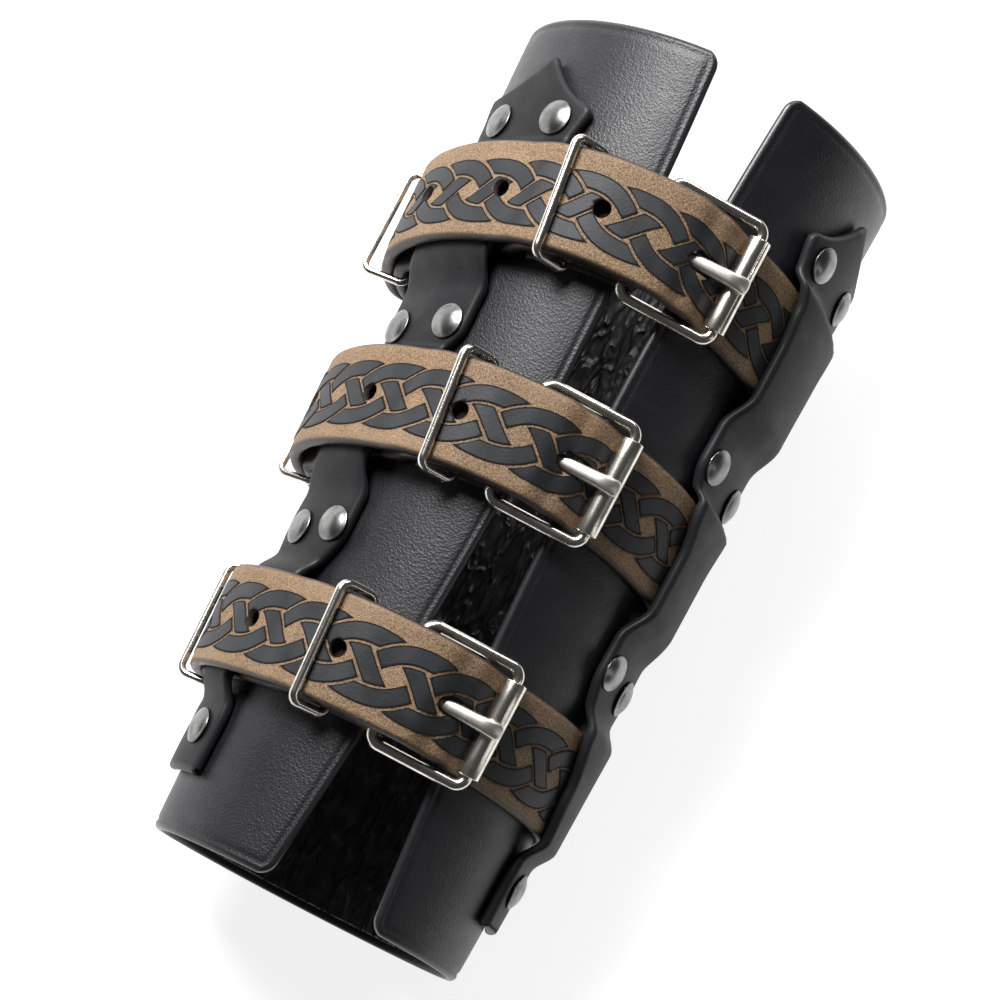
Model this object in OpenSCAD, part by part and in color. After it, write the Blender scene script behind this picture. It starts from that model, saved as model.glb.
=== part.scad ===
// Leather bracer for the forearm: a rolled shell, open along the front, closed by three buckled straps.
// It lies on its back. +Z is up through the buckles, +Y runs along the arm to the elbow end.
// The origin is under its middle, on the surface that it lies on. Places along the arm are counted
// from the wrist end. Places round the arm are arcs on the shell's outer face, counted from the
// middle of the gap. Heights over the shell are measured square to that face.

/* [Shell] */
// Length from the wrist end to the elbow end
length = 230; // [200:1:260]
// Outside width at the wrist end
wrist_w = 86; // [80:1:92]
// Outside width at the elbow end
elbow_w = 106; // [98:1:112]
// Outside height at the wrist end
wrist_h = 66; // [62:1:70]
// Outside height at the elbow end
elbow_h = 90; // [84:1:94]
// Thickness of the shell's leather
shell_t = 2.6; // [2:0.1:3.2]
// Thickness of the lining
lining_t = 1; // [0.7:0.1:1.4]
// Width of the front gap where it is narrowest
gap_waist = 12.8; // [10:0.2:16]
// Width of the front gap at the elbow end
gap_elbow = 20.6; // [18:0.2:26]
// Width of the front gap at the wrist end
gap_wrist = 29.6; // [24:0.2:34]
// Corner radius of the two front edges
corner_r = 4; // [2:0.5:8]
// How far the elbow end is cut back behind the arm, so that the elbow can bend
elbow_relief = 9; // [0:0.5:12]

/* [Side bands] */
// Thickness of the two side bands
band_t = 3; // [2.4:0.1:3.4]
// Distance of the band's point from the elbow end
band_top = 13; // [11:0.5:18]
// Distance of the band's square end from the wrist end
band_foot = 15; // [12:0.5:20]
// How far the band's point stands above its shoulders
point_h = 11.5; // [8:0.5:14]

/* [Rivets] */
// Head diameter of the band rivets
rivet_d = 9.6; // [8:0.2:10]
// Height of the rivet's dome
dome_h = 1.7; // [1.2:0.1:2.2]
// Diameter of the rivet's shank
shank_d = 3; // [2.4:0.1:3.6]
// Diameter of the flat caps inside
cap_d = 7.6; // [6.6:0.2:8.6]

/* [Straps] */
// Width of a strap
strap_w = 27.5; // [26:0.5:29]
// Thickness of a strap
strap_t = 3.2; // [2.8:0.1:3.4]
// Thickness of the thinned end that is folded round the heel bar
skived_t = 1.6; // [1.4:0.1:1.8]
// Diameter of the free holes
hole_d = 4.6; // [4:0.1:5.4]
// Spacing of the free holes
hole_step = 24.5; // [22:0.5:26]

/* [Buckles] */
// Wire diameter of the frame
frame_wire = 3; // [2.6:0.1:3.2]
// Play between the strap's edges and the frame, both sides together
frame_play = 1.6; // [1.4:0.1:3]
// Diameter of the roller
roller_d = 6; // [5.4:0.1:6.4]
// Gap between each end of the roller and the bend of the frame
roller_end = 0.4; // [0.2:0.1:1.5]
// Diameter of the prong
prong_d = 3.2; // [2.6:0.1:3.4]
// How far the prong's tip passes the roller's axis
prong_past = 3; // [2:0.1:4]

/* [Rings] */
// Wire diameter of the keeper rings
keeper_wire = 2.5; // [1.8:0.1:2.6]
// Wire diameter of the side rings
side_wire = 2.1; // [1.8:0.1:2.4]
// Play between the strap's edges and a ring, both sides together
ring_play = 1.4; // [1.2:0.1:3]

/* [Hidden] */
$fn = 48;
black = [0.13, 0.13, 0.14];
brown = [0.45, 0.34, 0.24];
nickel = [0.78, 0.76, 0.72];
pewter = [0.45, 0.44, 0.42];

// Clearances, and the small steps that keep joined bodies from meeting edge to edge
hair = 0.01;
lap = 0.15;
seat = 0.3;
glue = 0.2;
running = 0.08;
hole_room = 0.2;
roller_gap = 0.5;
edge = 0.7;
flat_cut = 0.5;
// Share of the section's lobed part, which lowers its widest line
lobe_wrist = 0.045;
lobe_elbow = 0.055;
lift = seat + strap_t - flat_cut;

// Straps: place along the arm on the front, backward lean towards the sides, first free hole
ELBOW = 0;
MIDDLE = 1;
WRIST = 2;
strap_row = [179.5, 120.8, 55.8];
strap_lean = [0.18, 0.14, 0.04];
first_hole = [15.6, 22, 21];

// Buckle: arcs from the middle of the gap to the heel bar on the left and the roller on the right,
// and how far each buckle sits to the right of that
heel_arc = 10;
roller_arc = 12.5;
buckle_shift = [4.5, 0, 2];
fold_mid = seat + skived_t / 2;
fold_r = frame_wire / 2 + seat + skived_t / 2;
heel_off = fold_mid + fold_r;
under_mid = seat + strap_t / 2;
roller_off = under_mid + strap_t / 2 + roller_gap + roller_d / 2;
eye_r = frame_wire / 2 + skived_t + 0.1;
slot_back = 4.2;
skive_arc = 14.4;
skive_end = 19.4;
fold_end = 31;
level_end = 28;
flat_from = 38;
hole_arc = 2;
frame_inner = strap_w + frame_play;
ring_inner = strap_w + ring_play;
over_fold = heel_off + fold_r + skived_t / 2 + seat + strap_t / 2;

// Rings: arcs of the keeper's lower and upper bar and of each side ring, on the left of the gap, and
// how far from the side ring the strap starts to rise, lies over it, falls again and ends
keeper_low = 21;
keeper_high = 25;
side_arc = [85, 84, 72.5];
side_rise = 9.5;
side_near = 3.5;
side_past = 8;
side_down = 14;
side_tip = 22;
ring_slack = 0.1;
ring_low_off = fold_mid + skived_t / 2 + seat + keeper_wire / 2;
over_ring = ring_low_off + keeper_wire / 2 + seat + ring_slack + strap_t / 2;
billet_high = over_ring + strap_t + seat;
ring_high_off = billet_high + strap_t / 2 + seat + keeper_wire / 2;
side_low_off = seat + side_wire / 2;
side_over = side_low_off + side_wire / 2 + seat + 3 * ring_slack + strap_t / 2;
side_stand = [2.8, 1.5, 0.6];
side_top = side_over + strap_t * 1.5 + seat * 2 + side_wire / 2;

// Bands: how gently they fall from each strap towards the elbow and towards the wrist, then their
// plan as place along the arm, middle arc and half width
band_in = seat;
arch = seat + strap_t;
arch_room = 0.2;
ramp_up = [4.6, 3.4, 7];
ramp_down = [11, 11, 7];
over_band = band_in + arch + band_t + under_mid;
band_plan = [[0, 57.5, 9.2], [18, 57, 9.2], [29, 56.2, 8.4], [40, 55.5, 6.2], [54, 54.5, 7],
    [70, 52.5, 9.3], [84, 51.6, 12.2], [93, 51.2, 11.6], [103, 51, 8.7], [118, 51, 8.6],
    [132, 50.8, 11.3], [142, 50.6, 14.4], [151, 50.8, 14.3], [162, 51.6, 12.9], [176, 51.9, 13.2],
    [186, 52, 14.4], [195, 52.3, 17.6], [204, 52.6, 19.4], [240, 52.8, 19.4]];
// Rivets: place along the arm and arc from the middle of the gap
rivet_plan = [[200.4, 41.5], [197.9, 61.5], [142.6, 41.5], [138.8, 58.8], [85.3, 43.6], [82.4, 56],
    [27, 55]];

function lerp(a, b, t) = a + (b - a) * t;
function soft(t) = t <= 0 ? 0 : t >= 1 ? 1 : (1 - cos(180 * t)) / 2;
function unit(v) = v / norm(v);
function smooth_table(list, x, c, i = 0) = x <= list[0][0] ? list[0][c]
    : i >= len(list) - 1 ? list[len(list) - 1][c]
    : x <= list[i + 1][0]
        ? lerp(list[i][c], list[i + 1][c], soft((x - list[i][0]) / (list[i + 1][0] - list[i][0])))
    : smooth_table(list, x, c, i + 1);

// The section is an oval with a flatter back. Its support function has four terms, so that
// offsets, normals and arc lengths are exact.
function terms(y) =
    let (t = y / length,
        half_w = lerp(wrist_w, elbow_w, t) / 2,
        half_h = lerp(wrist_h, elbow_h, t) / 2,
        a0 = (half_w + half_h) / 2,
        a2 = (half_h - half_w) / 2,
        a3 = lerp(lobe_wrist, lobe_elbow, t) * a0)
    [a0, a0 + a2 - a3, a2, a3];
function pt(psi, y, off) =
    let (a = terms(y),
        h = a[0] + a[1] * cos(psi) + a[2] * cos(2 * psi) + a[3] * cos(3 * psi) + off,
        d = -a[1] * sin(psi) - 2 * a[2] * sin(2 * psi) - 3 * a[3] * sin(3 * psi))
    [h * sin(psi) + d * cos(psi), y - length / 2, h * cos(psi) - d * sin(psi) + lift];
function arc_at(psi, y) =
    let (a = terms(y))
    a[0] * psi * PI / 180 - 1.5 * a[2] * sin(2 * psi) - 8 / 3 * a[3] * sin(3 * psi);
function psi_at(arc, y, lo = -10, hi = 520, n = 22) =
    let (mid = (lo + hi) / 2)
    n == 0 ? mid
    : arc_at(mid, y) < arc ? psi_at(arc, y, mid, hi, n - 1)
    : psi_at(arc, y, lo, mid, n - 1);
function girth(y) = arc_at(360, y);
function out_dir(psi) = [sin(psi), 0, cos(psi)];
function along_dir(psi, y) = unit(pt(psi, y + 1, 0) - pt(psi, y - 1, 0));
function face_dir(psi, y) = unit(cross([cos(psi), 0, -sin(psi)], along_dir(psi, y)));

// Turns the children so that their axes lie along ex, ey and ez, and carries them to o
module placed(o, ex, ey, ez) {
    translate(o)
        rotate([atan2(ey[2], ez[2]), -asin(ex[2]), atan2(ex[1], ex[0])])
            children();
}

// Stands the children on the section's face, their Z square to it
module on_face(psi, y, off) {
    n = face_dir(psi, y);
    translate(pt(psi, y, 0) + n * off)
        rotate([0, acos(n[2]), atan2(n[1], n[0])])
            children();
}

// A closed sheet from two grids of points, the outer face and the inner face
module sheet(outer, inner) {
    rows = len(outer);
    cols = len(outer[0]);
    n = rows * cols;
    points = concat([for (r = outer) each r], [for (r = inner) each r]);
    function at(i, j) = i * cols + j;
    function quad(a, b, c, d) = [[a, b, c], [a, c, d]];
    faces = concat(
        [for (i = [0 : rows - 2], j = [0 : cols - 2])
            each quad(at(i, j), at(i + 1, j), at(i + 1, j + 1), at(i, j + 1))],
        [for (i = [0 : rows - 2], j = [0 : cols - 2])
            each quad(n + at(i, j), n + at(i, j + 1), n + at(i + 1, j + 1), n + at(i + 1, j))],
        [for (i = [0 : rows - 2])
            each quad(at(i, 0), n + at(i, 0), n + at(i + 1, 0), at(i + 1, 0))],
        [for (i = [0 : rows - 2])
            each quad(at(i, cols - 1), at(i + 1, cols - 1), n + at(i + 1, cols - 1), n + at(i, cols - 1))],
        [for (j = [0 : cols - 2])
            each quad(at(0, j), at(0, j + 1), n + at(0, j + 1), n + at(0, j))],
        [for (j = [0 : cols - 2])
            each quad(at(rows - 1, j), n + at(rows - 1, j), n + at(rows - 1, j + 1),
                at(rows - 1, j + 1))]);
    polyhedron(points, faces, convexity = 6);
}

// Half the front gap: an hourglass, opened at its ends by the rounded corners
waist_at = 0.587;
function half_gap(y) =
    let (t = y / length,
        d = min(y, length - y),
        bow = t > waist_at ? lerp(gap_waist, gap_elbow, pow((t - waist_at) / (1 - waist_at), 2)) / 2
            : lerp(gap_waist, gap_wrist, pow((waist_at - t) / waist_at, 2)) / 2)
    bow + (d < corner_r ? corner_r - sqrt(max(0, pow(corner_r, 2) - pow(corner_r - d, 2))) : 0);

// Rows along the arm and shares round the section for the shell and its lining
end_rows = [0, edge, corner_r * 0.45, corner_r];
body_rows = [for (i = [1 : 5]) lerp(corner_r, length - corner_r, i / 6)];
shell_rows = concat(end_rows, body_rows, [for (i = [3 : -1 : 0]) length - end_rows[i]]);
lining_inset = 2;

round_steps = 42;
relief_from = 0.8;
relief_side = 0.2;
module rolled(rows, top_off, t, inset, bevel) {
    last = len(rows) - 1;
    function row_y(i) = min(length - inset, max(inset, rows[i]));
    function cut(i) = i == 0 || i == last ? bevel : 0;
    function back_y(psi, y) =
        y - elbow_relief * soft((-cos(psi) - relief_side) / (1 - relief_side))
            * max(0, (y / length - relief_from) / (1 - relief_from));
    function share(j, first) = j == 0 ? first[0] : j == 1 ? first[1]
        : j == round_steps + 2 ? 360 - first[1] : j == round_steps + 3 ? 360 - first[0]
        : lerp(first[1], 360 - first[1], (j - 1) / (round_steps + 1));
    function first(y) = [psi_at(half_gap(y) + inset, y), psi_at(half_gap(y) + inset + bevel + 0.2, y)];
    function face(side) = [for (i = [0 : last])
        let (y = row_y(i), f = first(y))
        [for (j = [0 : round_steps + 3])
            let (b = max(cut(i), j == 0 || j == round_steps + 3 ? bevel : 0), psi = share(j, f))
            pt(psi, back_y(psi, y), side > 0 ? top_off - b : top_off - t + b)]];
    sheet(face(1), face(-1));
}

// Holes for the rivets' shanks, on one side of the gap or on both
through = 40;
module rivet_holes(sides = [-1, 1]) {
    for (side = sides, r = rivet_plan)
        on_face(side * psi_at(r[1], r[0]), r[0], 0)
            cylinder(d = shank_d + hole_room, h = through, center = true, $fn = 24);
}

module shell() {
    color(black)
        difference() {
            rolled(shell_rows, 0, shell_t, 0, edge);
            rivet_holes();
        }
}

module lining() {
    color(black)
        difference() {
            rolled(shell_rows, -shell_t - glue, lining_t, lining_inset, lining_t * 0.2);
            rivet_holes();
        }
}

// Strap k crosses the arm's section at psi at this place along the arm
function strap_y(k, psi) =
    strap_row[k] - strap_lean[k] * (pt(0, strap_row[k], 0)[2] - pt(psi, strap_row[k], 0)[2]);
// Direction square across strap k at psi
function across_dir(k, psi) =
    let (t = unit(pt(psi + 1, strap_y(k, psi + 1), 0) - pt(psi - 1, strap_y(k, psi - 1), 0)),
        e = along_dir(psi, strap_y(k, psi)))
    unit(e - t * (t * e));

// Height of the band's inner face: flat at the rivets, arched over each strap
function band_off(psi, y) =
    band_in + arch * max([for (k = [ELBOW : WRIST])
        let (d = y - strap_y(k, psi))
        1 - soft((abs(d) - strap_w / 2 - arch_room) / (d > 0 ? ramp_up[k] : ramp_down[k]))]);

// End outline of the band across its width s = -1 to 1: a point between two rounded shoulders
hollow = 1.8;
shoulder = 0.86;
shoulder_h = 2.4;
function point_y(s) =
    let (out = max(0, (abs(s) - shoulder) / (1 - shoulder)))
    length - band_top - point_h * (1 - pow(1 - abs(s), hollow)) - shoulder_h * (1 - sqrt(1 - out * out));
band_cols = [-1, -0.95, -shoulder, -0.6, -0.3, 0, 0.3, 0.6, shoulder, 0.95, 1];
// Rows of the band: along the arm as [-1, place], or as [strap, distance from its middle]
arch_half = strap_w / 2 + arch_room;
ramp_steps = [0, 0.3, 0.5, 0.7, 1];
function strap_rows(k) =
    concat([for (i = [4 : -1 : 0]) [k, -arch_half - ramp_steps[i] * ramp_down[k]]], [[k, 0]],
        [for (d = ramp_steps) [k, arch_half + d * ramp_up[k]]]);
band_rows = concat([[-1, band_foot], [-1, band_foot + edge], [-1, 27]], strap_rows(WRIST),
    [[-1, 79], [-1, 86]], strap_rows(MIDDLE), [[-1, 142]], strap_rows(ELBOW), [[-1, 197.5]]);
tip_rows = [0.4, 0.75, 0.94, 1];

module band(side) {
    last = len(band_rows) + len(tip_rows) - 1;
    edge_col = len(band_cols) - 1;
    function place(i, s) =
        let (tip = i - len(band_rows),
            r = band_rows[min(i, len(band_rows) - 1)],
            y0 = r[0] < 0 ? r[1] : strap_row[r[0]] + r[1],
            arc0 = smooth_table(band_plan, y0, 1) + s * smooth_table(band_plan, y0, 2),
            psi0 = psi_at(arc0, y0),
            y1 = r[0] < 0 ? r[1] : strap_y(r[0], psi0) + r[1],
            y = tip < 0 ? y1 : lerp(y1, point_y(s), tip_rows[tip]),
            arc = smooth_table(band_plan, y, 1) + s * smooth_table(band_plan, y, 2))
        [psi_at(arc, y), y];
    function face(top) = [for (i = [0 : last])
        [for (j = [0 : edge_col])
            let (q = place(i, band_cols[side > 0 ? j : edge_col - j]),
                rim = i == 0 || i == last || j == 0 || j == edge_col,
                b = rim ? edge : 0,
                off = band_off(q[0], q[1]) + (top > 0 ? band_t - b : b))
            pt(side * q[0], q[1], off)]];
    color(black)
        difference() {
            sheet(face(1), face(-1));
            rivet_holes([side]);
        }
}

module left_band() {
    band(-1);
}

module right_band() {
    band(1);
}

// Rivet: a low dome on a shank that ends inside the cap
head_gap = 0.15;
head_off = band_in + band_t + head_gap;
head_rim = 0.4;
cap_off = -shell_t - glue - lining_t - seat;
cap_t = 1.1;
cap_bevel = 0.5;
cap_floor = 0.35;
module rivet() {
    crown = dome_h - head_rim;
    dome_r = (pow(rivet_d / 2, 2) + crown * crown) / (2 * crown);
    shank = head_off - cap_off + cap_t - cap_floor - head_gap;
    intersection() {
        cylinder(d = rivet_d, h = 2 * dome_h);
        translate([0, 0, dome_h - dome_r])
            sphere(r = dome_r);
    }
    translate([0, 0, -shank])
        cylinder(d = shank_d, h = shank + hair);
}

module cap() {
    difference() {
        translate([0, 0, -cap_t])
            cylinder(d1 = cap_d - 2 * cap_bevel, d2 = cap_d, h = cap_t);
        translate([0, 0, cap_floor - cap_t])
            cylinder(d = shank_d + 2 * running, h = cap_t);
    }
}

module rivet_row(side) {
    for (r = rivet_plan)
        on_face(side * psi_at(r[1], r[0]), r[0], head_off)
            rivet();
}

module cap_row(side) {
    for (r = rivet_plan)
        on_face(side * psi_at(r[1], r[0]), r[0], cap_off)
            cap();
}

module left_rivets() {
    color(pewter)
        rivet_row(-1);
}

module right_rivets() {
    color(pewter)
        rivet_row(1);
}

module left_rivet_caps() {
    color(pewter)
        cap_row(-1);
}

module right_rivet_caps() {
    color(pewter)
        cap_row(1);
}

// Buckle places for strap k: the heel bar's axis and the roller's axis
function heel_at(k) = heel_arc - buckle_shift[k];
function roller_at(k) = roller_arc + buckle_shift[k];
function hole_at(k) = hole_arc + buckle_shift[k];
function heel_pt(k) = pt(-psi_at(heel_at(k), strap_row[k]), strap_row[k], heel_off);
function roller_pt(k) = pt(psi_at(roller_at(k), strap_row[k]), strap_row[k], roller_off);
function bar_dir(k) = along_dir(0, strap_row[k]);
function buckle_x(k) =
    let (v = roller_pt(k) - heel_pt(k), e = bar_dir(k))
    unit(v - e * (v * e));
function buckle_len(k) =
    let (v = roller_pt(k) - heel_pt(k), e = bar_dir(k))
    norm(v - e * (v * e));

// The prong lies on the roller. Where its axis meets the section at psi it has this height.
prong_rest = roller_d / 2 + prong_d / 2 + seat;
function prong_rise(k) = asin(prong_rest / buckle_len(k));
function prong_dir(k) =
    let (x = buckle_x(k), z = cross(x, bar_dir(k)), a = prong_rise(k))
    x * cos(a) + z * sin(a);
function prong_off(k, psi) =
    let (s = pt(psi, strap_row[k], 0),
        d = prong_dir(k),
        m = [d[2], 0, -d[0]],
        n = out_dir(psi))
    ((heel_pt(k) - s) * m) / (n * m);

// Course of strap k as [arc, height of its middle, thickness]. It starts at the folded end under the
// heel bar, passes down the left side, round the back, up the right side, under the roller, over
// the heel bar and down the left side again to its tip.
function fold_points(k) = concat(
    [for (q = [fold_end, 27, 21, 15]) [q, fold_mid, skived_t]],
    [for (a = [-90 : 22.5 : 90]) [heel_at(k) - fold_r * cos(a), heel_off + fold_r * sin(a), skived_t]]);
function lower_table(k) = [[skive_arc, heel_off + fold_r, skived_t], [skive_end, over_ring, strap_t],
    [level_end, over_ring, strap_t], [flat_from, under_mid, strap_t],
    [side_arc[k] - side_rise, under_mid, strap_t], [side_arc[k] - side_near, side_over, strap_t],
    [side_arc[k] + side_past, side_over, strap_t], [side_arc[k] + side_down, under_mid, strap_t]];
function rise_at(k) = girth(strap_row[k]) - roller_at(k) - 1;
function upper_table(k) =
    let (g = girth(strap_row[k]))
    [[rise_at(k), under_mid], [g - hole_at(k), prong_off(k, psi_at(hole_at(k), strap_row[k]))],
        [g + heel_at(k) - 6, over_fold - seat], [g + heel_at(k), over_fold + 0.1],
        [g + skive_end, billet_high], [g + level_end + 2, billet_high],
        [g + flat_from, over_band], [g + side_arc[k] - side_rise, over_band],
        [g + side_arc[k] - side_near, side_over + strap_t + seat],
        [g + side_arc[k] + side_past, side_over + strap_t + seat],
        [g + side_arc[k] + side_down, under_mid + strap_t + seat]];
// Sections are close together where the strap bends, and wide apart on its long plain stretches
back_step = 6.5;
low_rows = [12, 14.5, 17, skive_end, 24, level_end, 30.5, 33, 35.5];
rise_rows = [0, 2, 4, 6, 8, 10, 11.5, 13.5, 15.5, 17.5, 20.5, 23.5];
up_rows = [14.5, skive_end, 24, 27.5, 30, 32.5, 35];
flat_n = 6;
side_rows = [-7.5, -5.5, -side_near, 0, 4, side_past, 10, 12, side_down];
tip_ends = [16.5, 18.5, 20, 21.2, 21.9];
function course(k) =
    let (g = girth(strap_row[k]),
        low = lower_table(k),
        side_arcs = concat(
            [for (i = [0 : flat_n]) lerp(flat_from, side_arc[k] - side_rise, i / flat_n)],
            [for (d = side_rows) side_arc[k] + d]),
        low_arcs = concat(low_rows, side_arcs),
        up_arcs = concat([for (d = rise_rows) rise_at(k) + d], [for (d = up_rows) g + d],
            [for (q = side_arcs) g + q], [for (d = tip_ends) g + side_arc[k] + d]),
        up = upper_table(k),
        down_arc = side_arc[k] + side_down,
        back_n = ceil((rise_at(k) - down_arc) / back_step))
    concat(fold_points(k),
        [for (q = low_arcs) [q, smooth_table(low, q, 1), smooth_table(low, q, 2)]],
        [for (i = [1 : back_n - 1]) [lerp(down_arc, rise_at(k), i / back_n), under_mid, strap_t]],
        [for (q = up_arcs) [q, smooth_table(up, q, 1), strap_t]]);

// Half width of strap k at arc q: full, then a rounded tip
function half_strap(k, q) =
    let (left = girth(strap_row[k]) + side_arc[k] + side_tip - q)
    left > strap_w / 2 ? strap_w / 2
        : sqrt(max(1, pow(strap_w / 2, 2) - pow(strap_w / 2 - left, 2)));

function course_pt(k, c, dy, dn, ahead, behind) =
    let (psi = -psi_at(c[0], strap_row[k]),
        y = strap_y(k, psi) + dy,
        a = pt(-psi_at(behind[0], strap_row[k]), y, behind[1]),
        b = pt(-psi_at(ahead[0], strap_row[k]), y, ahead[1]),
        t = unit([b[0] - a[0], 0, b[2] - a[2]]),
        n = [t[2], 0, -t[0]])
    pt(psi, y, c[1]) - n * dn;

// Each section of the strap is a rectangle with cut corners
corners = 8;
module strap_body(k) {
    path = course(k);
    last = len(path) - 1;
    function ring(i) =
        let (c = path[i],
            w = half_strap(k, c[0]),
            t = c[2] / 2,
            b = min(edge, t * 0.6),
            ahead = path[min(i + 1, last)],
            behind = path[max(i - 1, 0)])
        [for (p = [[-w, b - t], [b - w, -t], [w - b, -t], [w, b - t], [w, t - b], [w - b, t], [b - w, t],
            [-w, t - b]])
            course_pt(k, c, p[0], p[1], ahead, behind)];
    points = [for (i = [0 : last]) each ring(i)];
    function at(i, j) = i * corners + j % corners;
    faces = concat([[for (j = [0 : corners - 1]) at(0, j)]],
        [[for (j = [corners - 1 : -1 : 0]) at(last, j)]],
        [for (i = [0 : last - 1], j = [0 : corners - 1])
            each [[at(i, j), at(i + 1, j + 1), at(i, j + 1)], [at(i, j), at(i + 1, j), at(i + 1, j + 1)]]]);
    polyhedron(points, faces, convexity = 8);
}

// A slot or a round hole cut square through the upper layer at arc q of strap k
module strap_cut(k, q, stretch, d, depth) {
    psi = -psi_at(q, strap_row[k]);
    up = upper_table(k);
    a = pt(-psi_at(q - 1, strap_row[k]), strap_y(k, psi), smooth_table(up, q - 1, 1));
    b = pt(-psi_at(q + 1, strap_row[k]), strap_y(k, psi), smooth_table(up, q + 1, 1));
    e = along_dir(psi, strap_row[k]);
    t = unit(b - a);
    x = unit(t - e * (t * e));
    placed((a + b) / 2, x, e, cross(x, e))
        linear_extrude(height = depth, center = true) {
            for (s = [-1, 1])
                translate([s * stretch / 2, 0])
                    circle(d = d, $fn = 24);
            if (stretch > 0)
                square([stretch, d], center = true);
        }
}

// Slot in the fold for the prong's eye, and the holes for the fold's rivets
eye_w = 4.4;
eye_room = 0.4;
slot_floor = -1;
fold_rivet_d = 2.4;
fold_rivet_plan = [17, 28.6];
fold_rivet_row = 0.28;
module fold_cuts(k) {
    psi = -psi_at(heel_at(k), strap_row[k]);
    e = along_dir(psi, strap_row[k]);
    n = face_dir(psi, strap_row[k]);
    placed(heel_pt(k) - n * heel_off, cross(e, n), e, n)
        translate([-slot_back, -eye_w / 2 - eye_room, slot_floor])
            cube([slot_back + fold_r + skived_t, eye_w + 2 * eye_room,
                heel_off + fold_r + skived_t / 2 + seat / 2 - slot_floor]);
    fold_rivets_at(k)
        cylinder(d = fold_rivet_d + hole_room, h = over_ring, $fn = 24);
}

module fold_rivets_at(k) {
    for (q = fold_rivet_plan, s = [-1, 1])
        let (psi = -psi_at(q, strap_row[k]),
            out = s * strap_w * fold_rivet_row,
            e = across_dir(k, psi),
            aside = out * (e * [cos(psi), 0, -sin(psi)]))
            on_face(-psi_at(q - aside, strap_row[k]), strap_y(k, psi) + out * e[1], 0)
                children();
}

// The hole that the prong stands in is pulled long, and the back is pressed flat where it lies
pull = 8.6;
pull_ahead = 0.6;
prong_room = 1.8;
free_holes = 3;
module strap(k) {
    g = girth(strap_row[k]);
    color(brown)
        difference() {
            strap_body(k);
            fold_cuts(k);
            strap_cut(k, g - hole_at(k) + pull_ahead, pull, prong_d + prong_room, 3 * strap_t);
            for (i = [0 : free_holes - 1])
                strap_cut(k, g + first_hole[k] + i * hole_step, 0, hole_d, strap_t + 2 * hole_room);
            translate([-length, -length, -length])
                cube([2 * length, 2 * length, length]);
        }
}

module elbow_strap() {
    strap(ELBOW);
}

module middle_strap() {
    strap(MIDDLE);
}

module wrist_strap() {
    strap(WRIST);
}

// Tubular rivets that close each fold, one pair beside the heel bar and one past the keeper ring
module fold_rivets() {
    color(pewter)
        for (k = [ELBOW : WRIST])
            fold_rivets_at(k)
                translate([0, 0, fold_mid - skived_t / 4])
                    cylinder(d = fold_rivet_d, h = over_ring - 2 * fold_mid + skived_t / 2, $fn = 24);
}

// A closed loop of round wire in its own XY plane, len_x by len_y between bar axes. The straight
// bars are a hair thinner than the bends and run a little way into them.
module wire_loop(len_x, len_y, corner, wire) {
    for (sx = [-1, 1])
        translate([sx * len_x / 2, 0, 0])
            rotate([90, 0, 0])
                cylinder(d = wire - 2 * hair, h = len_y - 2 * corner + 2 * lap, center = true);
    for (sy = [-1, 1])
        translate([0, sy * len_y / 2, 0])
            rotate([0, 90, 0])
                cylinder(d = wire - 2 * hair, h = len_x - 2 * corner + 2 * lap, center = true);
    for (sx = [0, 1], sy = [0, 1])
        mirror([sx, 0, 0])
            mirror([0, sy, 0])
                translate([len_x / 2 - corner, len_y / 2 - corner, 0])
                    rotate_extrude(angle = 90)
                        translate([corner, 0])
                            circle(d = wire, $fn = 24);
}

frame_corner = 2.8;
module buckle_frame(k) {
    x = buckle_x(k);
    e = bar_dir(k);
    long = buckle_len(k);
    color(nickel)
        placed(heel_pt(k), x, e, cross(x, e))
            translate([long / 2, 0, 0])
                wire_loop(long, frame_inner + frame_wire, frame_corner, frame_wire);
}

module elbow_frame() {
    buckle_frame(ELBOW);
}

module middle_frame() {
    buckle_frame(MIDDLE);
}

module wrist_frame() {
    buckle_frame(WRIST);
}

// Roller: a tube rolled from sheet, its seam left open
seam = 0.5;
module roller(k) {
    x = buckle_x(k);
    e = bar_dir(k);
    straight = frame_inner + frame_wire - 2 * frame_corner;
    width = straight - 2 * roller_end;
    color(nickel)
        placed(heel_pt(k) + x * buckle_len(k), x, e, cross(x, e))
            rotate([90, 0, 0])
                difference() {
                    cylinder(d = roller_d, h = width, center = true);
                    cylinder(d = frame_wire + 2 * running, h = 2 * width, center = true);
                    translate([-roller_d, -seam / 2, -width])
                        cube([roller_d, seam, 2 * width]);
                }
}

module elbow_roller() {
    roller(ELBOW);
}

module middle_roller() {
    roller(MIDDLE);
}

module wrist_roller() {
    roller(WRIST);
}

// Prong: an eye round the heel bar, a straight shank over the roller and a tip bent down past it
tip_bend = 8;
module prong(k) {
    x = prong_dir(k);
    e = bar_dir(k);
    reach = buckle_len(k) * cos(prong_rise(k));
    tip_turn = asin(prong_past / tip_bend);
    color(nickel)
        placed(heel_pt(k), x, e, cross(x, e))
            difference() {
                union() {
                    rotate([90, 0, 0])
                        cylinder(d = 2 * eye_r, h = eye_w, center = true);
                    rotate([0, 90, 0])
                        cylinder(d = prong_d - 2 * hair, h = reach + lap, $fn = 32);
                    translate([reach, 0, -tip_bend])
                        rotate([90, 0, 0])
                            rotate([0, 0, 90 - tip_turn])
                                rotate_extrude(angle = tip_turn)
                                    translate([tip_bend, 0])
                                        circle(d = prong_d, $fn = 32);
                }
                rotate([90, 0, 0])
                    cylinder(d = frame_wire + 2 * running, h = eye_w + 2, center = true);
            }
}

module elbow_prong() {
    prong(ELBOW);
}

module middle_prong() {
    prong(MIDDLE);
}

module wrist_prong() {
    prong(WRIST);
}

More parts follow.
